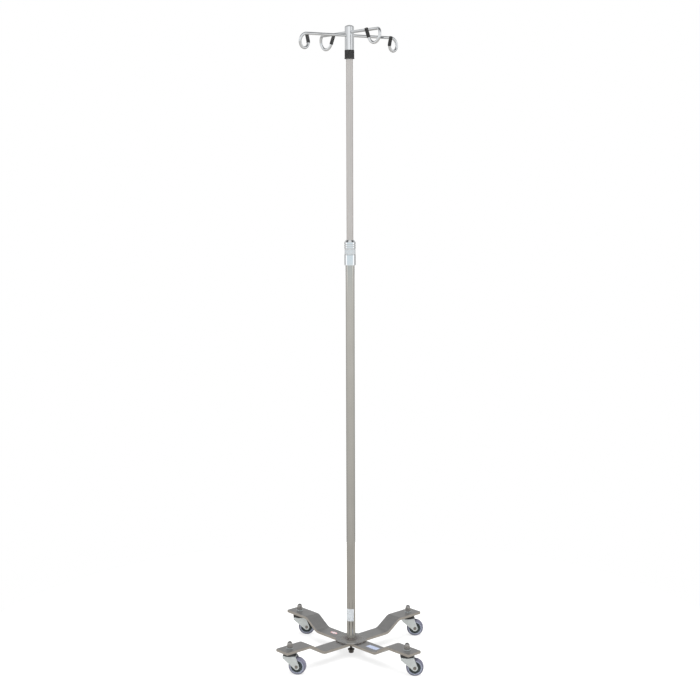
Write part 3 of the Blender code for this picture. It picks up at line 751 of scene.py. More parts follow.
def make_finishes(tints):
    """All the stand's materials, by name."""
    pole = (1, 1, 0.004)
    along = (1, 0.02, 1)
    made = [
        metal_finish("polished_chrome", tints.chrome, 0.03, 0.08, 900, (1, 1, 1), depth=0.000004, wear=0.05),
        metal_finish("grip_chrome", tints.chrome, 0.24, 0.36, 900, (1, 1, 1), depth=0.000004, wear=0.05),
        metal_finish("nut_steel", tints.nut, 0.12, 0.24, 900, (1, 1, 1), depth=0.00001, wear=0.12, patches=240),
        metal_finish("satin_upper_pole", tints.upper_pole, 0.36, 0.46, 2600, pole, depth=0.00001, patches=14),
        metal_finish("satin_lower_pole", tints.lower_pole, 0.06, 0.12, 2600, pole, depth=0.00001, patches=14),
        metal_finish("brushed_leg", tints.leg_steel, 0.26, 0.42, 2400, along, "UV", 0.00003, 0.16, 45),
        metal_finish("sheared_edge", tints.edge_steel, 0.25, 0.45, 1800, along, "UV", 0.00005, 0.22, 60),
        metal_finish("zinc_plate", tints.zinc, 0.26, 0.42, 700, (1, 1, 1), depth=0.00003, wear=0.12, patches=120),
        metal_finish("rivet_steel", tints.rivet, 0.25, 0.5, 1400, (1, 1, 1), depth=0.00003, wear=0.25, patches=300),
        plastic_finish("black_oxide", tints.dark_steel, 0.3, 0.55, 1800, 0.00005, 0.6, 0.35, 240),
        plastic_finish("black_plastic", tints.black, 0.34, 0.5, 2600, 0.00003, 0.15),
        plastic_finish("black_vinyl", tints.black, 0.22, 0.38, 900, 0.00003, 0.3, 0.3, 120),
        plastic_finish("dark_core", tints.core, 0.4, 0.58, 2200, 0.00004),
        plastic_finish("white_nylon", tints.nylon, 0.4, 0.55, 1500, 0.00003, 0.4, 0.05),
        hub_finish(tints.leg_steel, tints.heat),
        weld_finish(tints.weld),
        tread_finish(tints.tread, tints.tread_side),
        label_finish("label_paper", tints.paper),
        label_finish("label_film", tints.film),
        label_finish("label_stamp", tints.stamp),
        label_finish("label_faded", tints.faded),
    ]
    return {material.name: material for material in made}


def finish(name):
    """One of the stand's materials, which are all made at the first call."""
    if name not in bpy.data.materials:
        make_finishes(bpy.context.scene.drip_stand_finishes)
    return bpy.data.materials[name]


def recoat(node, name):
    """Gives a CAD node that stays in view a finish."""
    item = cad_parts[node]
    for place in item.material_slots:
        place.link = "OBJECT"
        place.material = finish(name)
    if not item.material_slots:
        item.data.materials.append(finish(name))


# ---------------------------------------------------------------- pole and lock
def pole_pieces(details):
    """Both tubes of the pole. The glides inside them keep their CAD shape."""
    steps = details.round_steps
    for node, wall, name, slot, body in (
        ("lower_tube", LOWER_WALL, "satin_lower_pole", "satin_chrome", "base"),
        ("upper_tube", UPPER_WALL, "satin_upper_pole", "satin_chrome", "mast"),
    ):
        bottom, top = heights_of(node)
        radius = radius_of(node)
        outline = eased(tube_outline(radius - wall, radius, bottom, top), details.edge, ring=True)
        add_piece("pole_" + node, turned(outline, steps, ring=True), body, (node,), finish(name))
    recoat("guide_bush", "white_nylon")
    recoat("tube_foot", "white_nylon")


def lock_pieces(details):
    """The collar on the lower tube, and the grip sleeve that slides on its neck."""
    steps = details.round_steps
    chrome = finish("polished_chrome")
    low, neck_top = heights_of("lock_body")
    sleeve_low, top = heights_of("lock_sleeve")
    radius = radius_of("lock_body")
    shoulder = sleeve_low - GAP
    neck, bore = LOCK_NECK_RADIUS, LOCK_BORE
    socket = radius_of("lower_tube") + GAP
    tube_top = heights_of("lower_tube")[1] + GAP
    body = [
        (bore, neck_top), (neck, neck_top), (neck, shoulder), (radius, shoulder),
        (radius, low), (socket, low), (socket, tube_top), (bore, tube_top),
    ]
    add_piece("lock_collar", turned(eased(body, 0.0005, ring=True), steps, ring=True), "base",
              ("lock_body",), chrome)
    sleeve = [(bore, top), (radius - SLEEVE_CHAMFER_WIDTH, top), (radius, top - SLEEVE_CHAMFER_HEIGHT)]
    floor = radius - GROOVE_DEPTH
    for height in GROOVE_HEIGHTS:
        sleeve += [
            (radius, height + GROOVE_HALF_WIDTH), (floor, height + GROOVE_FLOOR_HALF_WIDTH),
            (floor, height - GROOVE_FLOOR_HALF_WIDTH), (radius, height - GROOVE_HALF_WIDTH),
        ]
    grip = radius - GRIP_DEPTH
    inside, lip = neck + GAP, top - SLEEVE_LIP
    sleeve += [
        (radius, GRIP_TOP), (grip, GRIP_TOP - GRIP_DEPTH), (grip, GRIP_LOW + GRIP_DEPTH), (radius, GRIP_LOW),
        (radius, sleeve_low), (inside, sleeve_low), (inside, lip), (bore, lip),
    ]
    shell = coated(turned(eased(sleeve, 0.0004, ring=True), steps, ring=True), chrome)
    rib = rib_mesh(0.00075, GRIP_DEPTH, GRIP_TOP - GRIP_LOW - 2 * GRIP_DEPTH)
    middle = (GRIP_TOP + GRIP_LOW) / 2
    ribs = row_of(rib, ring_path(grip, middle, details.grip_ribs), finish("grip_chrome"), tilt=pi)
    add_piece("lock_grip_sleeve", joined(shell, ribs), "lock_sleeve", ("lock_sleeve",))


# ---------------------------------------------------------------- head and hooks
def neck_piece(details):
    """The black bushing under the head: a ribbed barrel on a plain rim."""
    black = finish("black_plastic")
    bottom, sleeve_top = heights_of("neck_bushing")
    top = heights_of("head_tube")[0] - GAP
    rim = radius_of("neck_bushing")
    proud = 0.0005
    barrel = rim - 0.0004 - proud
    inner = radius_of("upper_tube") + GAP
    liner = SPIGOT_RADIUS
    outline = [
        (inner, sleeve_top), (liner, sleeve_top), (liner, top), (barrel + proud, top), (barrel + proud, top - 0.0012),
        (barrel, top - 0.0016), (barrel, bottom + 0.0031), (rim, bottom + 0.0025), (rim, bottom), (inner, bottom),
    ]
    shell = coated(turned(eased(outline, 0.0003, ring=True), details.round_steps, ring=True), black)
    low, high = bottom + 0.0025, top - 0.0012
    rib = rib_mesh(0.0012, proud, high - low)
    ribs = row_of(rib, ring_path(barrel, (low + high) / 2, details.neck_ribs), black, tilt=pi)
    add_piece("neck_grip", joined(shell, ribs), "mast", ("neck_bushing",))


def head_pieces(details):
    """The chrome head tube, drilled for both rods, and its domed cap."""
    steps = details.round_steps
    chrome = finish("polished_chrome")
    bottom, top = heights_of("head_tube")
    radius, bore = radius_of("head_tube"), HEAD_BORE
    outline = eased(tube_outline(bore, radius, bottom, top), details.edge, ring=True)
    head = turned(outline, steps, ring=True)
    for _, height, angle, _ in RODS:
        drill = moved(drum(ROD_RADIUS + GAP, -0.03, 0.03), turn(pi / 2, "Y"), turn(angle), shift(0, 0, height))
        head = combined(head, drill, "DIFFERENCE")
    add_piece("head_sleeve", head, "mast", ("head_tube",), chrome)
    foot, crown_top = heights_of("head_cap")
    rim = top + GAP
    rise = crown_top - rim
    crown = (radius ** 2 + rise ** 2) / (2 * rise)
    start = atan2(crown - rise, radius)
    dome = arc((0, rim + rise - crown), crown, pi / 2, start, 16)
    dome[0] = (0, crown_top)
    plug = eased([dome[-1], (bore - GAP, rim), (bore - GAP, foot), (0, foot)], details.edge)
    add_piece("head_dome", turned(dome + plug[1:], steps), "mast", ("head_cap",), chrome)


def loop_point(share, angle, height):
    """A point of one hook's loop, which turns down and back and drifts to one side like a pigtail."""
    bend = LOOP_ANGLE * share
    out = LOOP_REACH + LOOP_HALF_WIDTH * sin(bend)
    side = LOOP_SHIFT * (0.75 * share + 0.25 * share ** 2)
    return Vector((
        out * cos(angle) + side * sin(angle),
        out * sin(angle) - side * cos(angle),
        height + LOOP_HALF_HEIGHT * (cos(bend) - 1),
    ))


def tip_direction(angle):
    return Vector((TIP_LEAN * sin(angle), -TIP_LEAN * cos(angle), LOOP_HALF_HEIGHT)).normalized()


def hook_path(angle, height):
    """From the pole's axis out to the end of one hook."""
    start = Vector((0, 0, height))
    loop = [loop_point(i / 72, angle, height) for i in range(73)]
    path = [start.lerp(loop[0], i / 48) for i in range(48)] + loop
    straight = sqrt(LOOP_HALF_HEIGHT ** 2 + TIP_LEAN ** 2)
    end = loop[-1] + tip_direction(angle) * straight
    path += [loop[-1].lerp(end, i / 14) for i in range(1, 15)]
    for _ in range(6):
        inner = [(a + b * 2 + c) / 4 for a, b, c in zip(path, path[1:], path[2:])]
        path = [path[0], *inner, path[-1]]
    return path


def rod_pieces(details):
    """Two chrome rods through the head, each bent into a hook at both ends."""
    for name, height, angle, _ in RODS:
        points = hook_path(angle + pi, height)[::-1] + hook_path(angle, height)[1:]
        mesh = rod(points, ROD_RADIUS, details.round_steps // 3)
        add_piece("hook_wire_" + name, mesh, "mast", ("hook_rod_" + name,),
                  finish("polished_chrome"), sharp=50)


def tip_pieces(details):
    """Vinyl caps over the hooks' straight ends and last bends, with domed tops."""
    radius, bore, wall = 0.0050, 0.0045, 0.0012
    rise, shrink = 0.0022, 0.0020
    mouth, straight_end = 116, 134
    curve = [radians(a) for a in (0, 18, 36, 54, 72, 88)]
    for _, height, angle, sides in RODS:
        for side, facing in zip(sides, (angle, angle + pi)):
            path = hook_path(facing, height)
            ahead = tip_direction(facing)
            base = path[-1] + ahead * (GAP + wall - rise)
            outer = path[mouth:straight_end] + [base + ahead * (rise * sin(a)) for a in curve]
            radii = [radius - 0.0003] + [radius] * (straight_end - mouth - 1)
            radii += [radius - shrink * (1 - cos(a)) for a in curve]
            shell = rod(outer, radii, details.round_steps // 3)
            hollow = rod(path[mouth - 4:straight_end] + [path[-1] + ahead * GAP], bore, details.round_steps // 3)
            add_piece("tip_cap_" + side, combined(shell, hollow, "DIFFERENCE"), "mast",
                      ("hook_tip_" + side,), finish("black_vinyl"), sharp=50)


# ---------------------------------------------------------------- base
def leg_sections():
    """Sections of the cranked bar along +X, with every edge rounded and the outer corners rounded in plan."""
    start = (LEG_WIDTH / 2 + GAP, LEG_LOW_TOP)
    low, high = (LEG_BEND_START, LEG_LOW_TOP), (LEG_BEND_END, LEG_HIGH_TOP)
    end = (LEG_END, LEG_HIGH_TOP)
    path = [(start[0] + 0.012 * i, LEG_LOW_TOP) for i in range(8)]
    path += rounded_corner(start, low, high, LEG_BEND_RADIUS, 16)
    path += rounded_corner(low, high, end, LEG_BEND_RADIUS, 16)
    path += [(LEG_END - 0.060 + 0.012 * i, LEG_HIGH_TOP) for i in range(5)]
    edge, corner = 0.0007, LEG_CORNER_RADIUS
    ends = [LEG_END - corner + corner * sin(radians(a)) for a in (0, 12, 24, 36, 48, 58, 66)]
    ends += [LEG_END - edge + edge * sin(radians(a)) for a in (30, 60, 84)]
    path += [(x, LEG_HIGH_TOP) for x in sorted(ends)]
    sections = []
    for i, (x, z) in enumerate(path):
        ahead = Vector(path[min(i + 1, len(path) - 1)]) - Vector(path[max(i - 1, 0)])
        down = Vector((ahead.y, 0, -ahead.x)).normalized()
        left = max(LEG_END - x, 0)
        half = LEG_WIDTH / 2
        if left < corner:
            half += sqrt(max(corner ** 2 - (corner - left) ** 2, 0)) - corner
        inset = edge - sqrt(max(edge ** 2 - (edge - left) ** 2, 0)) if left < edge else 0
        centre = Vector((x, 0, z)) + down * (LEG_THICKNESS / 2)
        flat, thick = half - edge, LEG_THICKNESS / 2 - edge
        section = []
        for side, level, first in ((1, -1, 270), (1, 1, 0), (-1, 1, 90), (-1, -1, 180)):
            for step in range(4):
                a = radians(first + 30 * step)
                y = side * flat + (edge - inset) * cos(a)
                section.append(centre + Vector((0, y, 0)) + down * (level * thick + (edge - inset) * sin(a)))
        sections.append(section)
    return sections


def leg_mesh():
    """One leg along +X, drilled for the stud, with its narrow sides and ends in sheared steel."""
    bar = skinned(leg_sections())
    drill = moved(drum(STUD_HOLE, 0.05, 0.08), shift(STEM_CIRCLE, 0, 0))
    bar = combined(bar, drill, "DIFFERENCE")
    coated(bar, finish("brushed_leg"))
    bar.materials.append(finish("sheared_edge"))
    for face in bar.polygons:
        steep = abs(face.normal.y) > 0.72 or abs(face.normal.z) < 0.2
        face.material_index = 1 if steep else 0
    return bar


def leg_pieces():
    """The four cranked bars."""
    bar = leg_mesh()
    for corner, (outward, _) in CORNERS.items():
        add_piece("bar_leg_" + corner, moved(bar.copy(), turn(outward)), "base",
                  ("leg_" + corner,), sharp=40)


def hub_pieces(details):
    """The round plate with its boss and spigot, and the weld round the pole's foot."""
    steps = details.round_steps
    top = heights_of("lower_tube")[0] - GAP
    spigot_top = heights_of("hub_plate")[1]
    bottom = heights_of("hub_plate")[0]
    under = LEG_LOW_TOP + GAP
    radius, spigot, boss, hole = HUB_RADIUS, SPIGOT_RADIUS, HUB_BOSS_RADIUS, HUB_BOLT_HOLE
    bolt_top = heights_of("hub_bolt")[1] + GAP
    outline = eased([
        (0, spigot_top), (spigot, spigot_top), (spigot, top), (radius, top), (radius, under), (boss, under),
        (boss, bottom), (hole, bottom), (hole, bolt_top), (0, bolt_top),
    ], 0.0009)
    add_piece("hub_disc", turned(outline, steps), "base", ("hub_plate",), finish("hub_steel"))
    weld = finish("weld_metal")
    foot = radius_of("lower_tube") + GAP
    wide, high = 0.0032, 0.0026
    bead = [(foot, top - 0.0006), (foot, top + high)]
    bead += [(foot + wide * sin(a), top + high * cos(a)) for a in (radians(15 * i) for i in range(1, 7))]
    bead.append((foot + wide, top - 0.0006))
    under_bead = coated(turned(bead, steps, ring=True), weld)
    ripple = bead_mesh(0.0021, 0.0068, 0.0056)
    ripples = row_of(ripple, ring_path(foot, top, details.ripples), weld, RIPPLE_LEAN)
    add_piece("pole_foot_weld", joined(under_bead, ripples), "base")


def tack_pieces():
    """Short weld beads where the hub plate's rim meets the top of each leg."""
    weld = finish("weld_metal")
    for corner, (outward, _) in CORNERS.items():
        beads = []
        for swing in (radians(-13), radians(13)):
            angles = [outward + swing + radians(1.9) * (i - 3) for i in range(7)]
            path = [Vector((HUB_RADIUS * cos(a), HUB_RADIUS * sin(a), LEG_LOW_TOP + 0.0012)) for a in angles]
            beads.append(row_of(bead_mesh(0.0024, 0.0040, 0.0034), path, weld, RIPPLE_LEAN, ring=False))
        add_piece("tack_weld_" + corner, joined(*beads), "base")


def hexagon(flats, bottom, top):
    return drum(flats / 2 / cos(pi / 6), bottom, top, sides=6)


def chamfered_hexagon(flats, bottom, top, both=True):
    """A hexagon whose points are turned off at its ends."""
    point = flats / 2 / cos(pi / 6) + 0.0001
    flat, drop = flats / 2 * 0.985, 0.0008
    cone = [(0, top), (flat, top), (point, top - drop), (point, bottom + drop), (flat, bottom), (0, bottom)]
    if not both:
        cone = [(0, top), (flat, top), (point, top - drop), (point, bottom), (0, bottom)]
    return combined(hexagon(flats, bottom, top), turned(cone, 48), "INTERSECT")


def bolt_pieces(details):
    """The hub's bolt, head down, its thread, and its washer."""
    dark = finish("black_oxide")
    bottom, top = heights_of("hub_bolt")
    washer_low, washer_top = heights_of("hub_washer")
    head_top = washer_low - GAP
    head = chamfered_hexagon(HUB_BOLT_FLATS, bottom, head_top)
    shank = drum(HUB_BOLT_SHANK, bottom + 0.002, top)
    bolt = coated(softened(combined(head, shank, "UNION"), 0.0002), dark)
    ridge = 0.00026
    thread = thread_mesh(HUB_BOLT_SHANK, washer_top + 0.0006, top - 0.0010, details.thread_pitch, ridge, dark)
    add_piece("hub_hex_bolt", joined(bolt, thread), "base", ("hub_bolt",))
    outline = tube_outline(HUB_BOLT_HOLE, radius_of("hub_washer"), washer_low, washer_top)
    outline = eased(outline, 0.0004, ring=True)
    add_piece("hub_round_washer", turned(outline, 64, ring=True), "base", ("hub_washer",), dark)


def stud_pieces():
    """On top of each leg end a domed nut and its washer, and under it a black seal with a skirt round the race. The
    seal is real, and its tall black skirt also stands for the shaded gap between leg and fork, as painted shade.
    """
    low, high = heights_of("cap_nut_front_left")
    nut = chamfered_hexagon(NUT_FLATS, low, low + NUT_HEX_HEIGHT)
    ball = NUT_FLATS / 2 - 0.0004
    dome = [(0, high)] + arc((0, high - ball), ball, radians(84), 0, 14) + [(ball, low + 0.004), (0, low + 0.004)]
    nut = combined(nut, turned(dome, 64), "UNION")
    nut = combined(nut, drum(STUD_HOLE, low - 0.01, heights_of("caster_stem_front_left")[1] + GAP), "DIFFERENCE")
    nut = softened(nut, 0.0002, angle=25)
    washer_low, washer_top = heights_of("leg_washer_front_left")
    washer = eased(tube_outline(STUD_HOLE, radius_of("leg_washer_front_left"), washer_low, washer_top), 0.0005,
                   ring=True)
    # the black seal is tall enough to also fill the shaded gap under the leg: partly a real seal, partly painted shade
    ring_low, ring_top = heights_of("dust_ring_front_left")
    ring_radius = radius_of("dust_ring_front_left")
    ring = eased([
        (SEAL_BORE, ring_top), (ring_radius, ring_top), (ring_radius, ring_low), (SEAL_SKIRT_BORE, ring_low),
        (SEAL_SKIRT_BORE, ring_top - SEAL_WEB), (SEAL_BORE, ring_top - SEAL_WEB),
    ], 0.0006, ring=True)
    for corner, (outward, _) in CORNERS.items():
        place = Matrix.Translation(corner_place(corner))
        add_piece("acorn_nut_" + corner, moved(nut.copy(), turn(outward), place), "base",
                  ("cap_nut_" + corner,), finish("nut_steel"))
        add_piece("stud_washer_" + corner, moved(turned(washer, 64, ring=True), place), "base",
                  ("leg_washer_" + corner,), finish("zinc_plate"))
        add_piece("swivel_seal_" + corner, moved(turned(ring, 64, ring=True), place), "base",
                  ("dust_ring_" + corner,), finish("black_plastic"))
        recoat("caster_stem_" + corner, "zinc_plate")


# ---------------------------------------------------------------- casters
def fork_mesh():
    """The pressed fork about its swivel axis, trailing along +X: a bent plate with a domed ball race."""
    top, thick, reach, boss = 0.0555, 0.0025, 0.0195, 0.0085
    half, inside = 0.0140, 0.0120
    axle = (TRAIL, AXLE_HEIGHT)
    rear = (-reach + 0.001, top - 0.0070)
    lower = arc(axle, boss, radians(15), radians(-145), 28)
    outline = [(-reach + 0.001, top), (reach, top)] + lower + [rear]
    outline = outline[:2] + lower + eased([lower[-1], rear, (-reach + 0.001, top)], 0.003, 6)[1:-1]
    fork = moved(plate(outline, 2 * half), turn(pi / 2, "X"))
    bend = 0.0026
    section = arc((half - bend, top - bend), bend, 0, pi / 2, 8) + arc((-half + bend, top - bend), bend, pi / 2, pi, 8)
    section += [(-half, -0.01), (half, -0.01)]
    hull = moved(plate(section, 0.12), turn(pi / 2, "X"), turn(pi / 2))
    fork = combined(fork, hull, "INTERSECT")
    under = top - thick
    room = arc((inside - 0.001, under - 0.001), 0.001, 0, pi / 2, 4)
    room += arc((-inside + 0.001, under - 0.001), 0.001, pi / 2, pi, 4) + [(-inside, -0.02), (inside, -0.02)]
    fork = combined(fork, moved(plate(room, 0.14), turn(pi / 2, "X"), turn(pi / 2)), "DIFFERENCE")
    dome_top, dome = 0.0603, 0.0165
    race = eased([
        (0, dome_top), (dome - 0.0018, dome_top), (dome, dome_top - 0.0024), (dome + 0.0006, top), (reach, top),
        (reach, under), (0, under),
    ], 0.0012, 4)
    fork = combined(fork, turned(race, 72), "UNION")
    fork = combined(fork, drum(0.0063, 0.04, 0.07), "DIFFERENCE")
    bore = moved(drum(AXLE_RADIUS + GAP, -0.03, 0.03), turn(pi / 2, "X"), shift(TRAIL, 0, AXLE_HEIGHT))
    return softened(combined(fork, bore, "DIFFERENCE"), 0.00035, 2, 40)


def caster_places(corner):
    """Where the fork goes, and where a wheel piece made on its own Z goes."""
    trail = CORNERS[corner][1]
    swivel = Matrix.Translation(corner_place(corner)) @ turn(trail)
    return swivel, swivel @ shift(TRAIL, 0, AXLE_HEIGHT) @ turn(pi / 2, "X")


def fork_pieces():
    """The pressed forks and the rivets that are their axles."""
    fork = fork_mesh()
    reach, head = 0.0143, 0.0016
    tip = reach + head
    rivet = [
        (0, tip - 0.0005), (0.0012, tip - 0.0005), (0.0020, tip), (0.0038, tip), (0.0048, reach + 0.0005),
        (0.0048, reach), (AXLE_RADIUS, reach), (AXLE_RADIUS, -reach), (0.0048, -reach), (0.0048, -reach - 0.0005),
        (0.0036, -tip), (0, -tip),
    ]
    for corner in CORNERS:
        swivel, spin = caster_places(corner)
        add_piece("pressed_fork_" + corner, moved(fork.copy(), swivel), "caster_" + corner,
                  ("caster_fork_" + corner,), finish("zinc_plate"))
        add_piece("rivet_axle_" + corner, moved(turned(eased(rivet, 0.0005), 48), spin), "caster_" + corner,
                  ("wheel_axle_" + corner,), finish("rivet_steel"))


def mirrored(outline):
    """The outline and its mirror image below, as one ring."""
    return outline + [(radius, -height) for radius, height in reversed(outline)]


def wheel_map(mesh):
    """A UV map that holds each point's distance from the wheel's axle, before the wheel is placed."""
    layer = mesh.uv_layers.new(name="wheel")
    for loop in mesh.loops:
        place = mesh.vertices[loop.vertex_index].co
        layer.data[loop.index].uv = (sqrt(place.x ** 2 + place.y ** 2), place.z)
    return mesh


def wheel_pieces(details):
    """The wheels' moulded cores and their rubber treads."""
    hub_end, rim = 0.0117, 0.0080
    web = rim - 0.0030
    core = mirrored(eased([
        (0.0033, hub_end), (0.0070, hub_end), (0.0078, web), (0.0128, web), (0.0140, web + 0.0006),
        (0.0152, rim), (CORE_RADIUS, rim),
    ], 0.0006))
    half, radius, shoulder = 0.0100, 0.0250, 0.0050
    outer = arc((radius - shoulder, half - shoulder), shoulder, pi / 2, radians(8), 10)
    tread = mirrored([(CORE_RADIUS + GAP, half - 0.0008), (CORE_RADIUS + 0.0010, half), (0.0196, half)] + outer)
    middle = len(tread) // 2
    tread[middle:middle] = [
        (radius, 0.0030), (radius, 0.0004), (radius - 0.0002, 0), (radius, -0.0004), (radius, -0.0030),
    ]
    for corner in CORNERS:
        spin = caster_places(corner)[1]
        add_piece("wheel_body_" + corner, moved(turned(core, details.round_steps, ring=True), spin),
                  "wheel_" + corner, ("wheel_core_" + corner,), finish("dark_core"))
        tyre = wheel_map(turned(tread, details.round_steps, ring=True))
        add_piece("rubber_tyre_" + corner, moved(tyre, spin), "wheel_" + corner,
                  ("wheel_tread_" + corner,), finish("tread_rubber"))


# ---------------------------------------------------------------- labels
def sheet_mesh(outline, thickness, place):
    """A thin label: an outline in (u, v) that place() sets on a surface at a height over it."""
    shape = bmesh.new()
    upper = [shape.verts.new(place(u, v, thickness)) for u, v in outline]
    lower = [shape.verts.new(place(u, v, 0.00002)) for u, v in outline]
    shape.faces.new(upper)
    shape.faces.new(lower[::-1])
    for i in range(len(outline)):
        j = (i + 1) % len(outline)
        shape.faces.new((upper[i], lower[i], lower[j], upper[j]))
    return finished_mesh(shape)


def rounded_rectangle(width, height, corner, steps=5):
    """About the origin."""
    x, y = width / 2 - corner, height / 2 - corner
    points = []
    for cx, cy, first in ((x, y, 0), (-x, y, pi / 2), (-x, -y, pi), (x, -y, 3 * pi / 2)):
        points += arc((cx, cy), corner, first, first + pi / 2, steps)
    return points


def label_pieces():
    """Blank labels: one round the pole's foot, one on each of two legs."""
    pole = radius_of("lower_tube")
    first, last, low, high = radians(-200), radians(-48), 0.1029, 0.1398
    columns = 48
    sections = []
    for i in range(columns + 1):
        angle = first + (last - first) * i / columns
        out = Vector((cos(angle), sin(angle), 0))
        from_end = min(i, columns - i) * (last - first) / columns * pole
        trim = 0.0015 - sqrt(max(0.0015 ** 2 - (0.0015 - from_end) ** 2, 0)) if from_end < 0.0015 else 0
        near, far = out * (pole + 0.00003), out * (pole + 0.00015)
        sections.append([near + Vector((0, 0, low + trim)), far + Vector((0, 0, low + trim)),
                         far + Vector((0, 0, high - trim)), near + Vector((0, 0, high - trim))])
    add_piece("pole_label", skinned(sections), "base", (), finish("label_paper"))

    def on_leg(corner, radius, lift=0.0):
        outward = CORNERS[corner][0]
        place = turn(outward) @ shift(radius, 0, LEG_LOW_TOP)
        return lambda u, v, over: place @ Vector((u, v, over + lift))

    rectangle = rounded_rectangle(0.043, 0.018, 0.0012)
    add_piece("leg_label_front_right", sheet_mesh(rectangle, 0.00012, on_leg("front_right", 0.0945)), "base",
              (), finish("label_film"))
    oval = [(0.0135 * cos(2 * pi * i / 48), 0.0062 * sin(2 * pi * i / 48)) for i in range(48)]
    add_piece("leg_label_rear_left", sheet_mesh(oval, 0.00012, on_leg("rear_left", 0.0770)), "base", (),
              finish("label_stamp"))
    inner = [(x * 0.72, y * 0.62) for x, y in oval]
    add_piece("leg_label_rear_left_centre", sheet_mesh(inner, 0.00010, on_leg("rear_left", 0.0770, 0.00012)), "base",
              (), finish("label_faded"))


# ---------------------------------------------------------------- studio
# where one part of the room gives way to the next, as the Z of a direction of length 1
APRON_END = (-0.085, -0.081)
WALLS_END = (0.02, 0.045)
HEAD_WALLS_END = (0.12, 0.2)
CEILING_START = (0.36, 0.56)
FLOOR_RADIUS = 1.2
FLOOR_DEPTH = 0.02
FLOOR_TINT = (0.93, 0.93, 0.925)
FLOOR_MIRRORED_TINT = (0.64, 0.62, 0.59)
FLOOR_GLOW = 0.75


def studio_world(surround):
    """White to the eye, and in reflections a grey room that was tuned for the front view."""
    world = bpy.data.worlds.new("studio")
    bpy.context.scene.world = world
    world.use_nodes = True
    tree = world.node_tree
    tree.nodes.clear()
    place = add_node(tree, "ShaderNodeTexCoord").outputs["Generated"]
    compass = add_node(tree, "ShaderNodeTexGradient", {"Vector": place}, gradient_type="RADIAL").outputs[1]
    axes = add_node(tree, "ShaderNodeSeparateXYZ", {"Vector": place})
    height = axes.outputs["Z"]
    cool = (0.78, 0.87, 0.91)
    walls = coloured(tree, compass, *greys(
        (0.0, 1.25), (1.0, 1.25), (0.056, 1.25), (0.078, cool), (0.422, cool), (0.444, 1.25), (0.53, 1.25),
        (0.56, 0.35), (0.625, 0.22), (0.875, 0.22), (0.94, 0.35), (0.97, 1.25),
    ))
    upper_walls = coloured(tree, compass, *greys(
        (0.0, 1.15), (1.0, 1.15), (0.08, 0.85), (0.42, 0.85), (0.5, 1.15), (0.56, 1.0), (0.63, 0.60), (0.87, 0.60),
        (0.94, 1.0),
    ))
    head_walls = coloured(tree, compass, *greys(
        (0.0, 0.70), (1.0, 0.70), (0.111, 0.76), (0.186, 0.95), (0.258, 1.15), (0.329, 0.59), (0.404, 1.0),
        (0.491, 0.51), (0.608, 0.73), (0.68, 0.30), (0.84, 0.30), (0.908, 0.64),
    ))
    apron = multiplied(tree, coloured(tree, compass, *greys(
        (0.0, 0.95), (1.0, 0.95), (0.25, 1.0), (0.5, 0.95), (0.58, 0.7), (0.68, 0.5), (0.82, 0.5), (0.92, 0.7),
    )), coloured(tree, rescaled(tree, height, -0.34, -0.09, 0, 1), *greys(
        (0.0, (0.62, 0.605, 0.58)), (1.0, (0.94, 0.93, 0.91)),
    )))
    ceiling = coloured(tree, rescaled(tree, axes.outputs["Y"], -1, 1, 0, 1), *greys(
        (0.0, 0.9), (1.0, 0.28), (0.30, 0.80), (0.40, 0.14), (0.56, 0.12), (0.64, 0.30), (0.72, 0.54), (0.80, 0.50),
        (0.90, 0.30),
    ))
    middle = blended(tree, rescaled(tree, height, *WALLS_END, 0, 1), walls, head_walls)
    sides = blended(tree, rescaled(tree, height, *HEAD_WALLS_END, 0, 1), middle, upper_walls)
    low = blended(tree, rescaled(tree, height, *APRON_END, 0, 1), apron, sides)
    room = blended(tree, rescaled(tree, height, *CEILING_START, 0, 1), low, ceiling)
    seen = add_node(tree, "ShaderNodeBackground", {"Color": (1, 1, 1, 1), "Strength": 1.0})
    around = add_node(tree, "ShaderNodeBackground", {"Color": room, "Strength": surround})
    ray = add_node(tree, "ShaderNodeLightPath")
    mix = add_node(tree, "ShaderNodeMixShader", {
        0: ray.outputs["Is Camera Ray"], 1: around.outputs[0], 2: seen.outputs[0],
    })
    add_node(tree, "ShaderNodeOutputWorld", {"Surface": mix.outputs[0]})


def add_softbox(name, place, target, width, height, power):
    """A soft area light that metal doesn't mirror."""
    light = bpy.data.lights.new(name, "AREA")
    light.shape = "RECTANGLE"
    light.size = width
    light.size_y = height
    light.energy = power
    item = bpy.data.objects.new(name, light)
    item.location = place
    item.rotation_euler = (Vector(target) - Vector(place)).to_track_quat("-Z", "Y").to_euler()
    item.visible_glossy = False
    bpy.context.scene.collection.objects.link(item)


def floor_finish(tint, mirrored_tint, glow):
    """Matt studio floor paint, lifted by a glow to the eye. Metal mirrors it as a duller grey."""
    material, tree, surface = new_finish("studio_floor", Specular_IOR_Level=0.1)
    cloud = noise(tree, 0.6, detail=2.0)
    colour = coloured(tree, cloud, (0.3, shade(tint, 0.99)), (0.7, tint))
    dress(tree, surface, colour, rescaled(tree, cloud, 0.3, 0.7, 0.85, 0.95), [(cloud, 0.02, 0.001)])
    dull = add_node(tree, "ShaderNodeEmission", {"Color": (*mirrored_tint, 1), "Strength": 1.0})
    ray = add_node(tree, "ShaderNodeLightPath")
    white = add_node(tree, "ShaderNodeEmission", {"Color": (1, 1, 1, 1), "Strength": 1.0})
    share = add_node(tree, "ShaderNodeMath", {0: ray.outputs["Is Camera Ray"], 1: glow}, operation="MULTIPLY")
    lifted = add_node(tree, "ShaderNodeMixShader", {0: share.outputs[0], 1: surface.outputs[0], 2: white.outputs[0]})
    mix = add_node(tree, "ShaderNodeMixShader", {
        0: ray.outputs["Is Glossy Ray"], 1: lifted.outputs[0], 2: dull.outputs[0],
    })
    tree.links.new(mix.outputs[0], tree.nodes["Material Output"].inputs["Surface"])
    return material


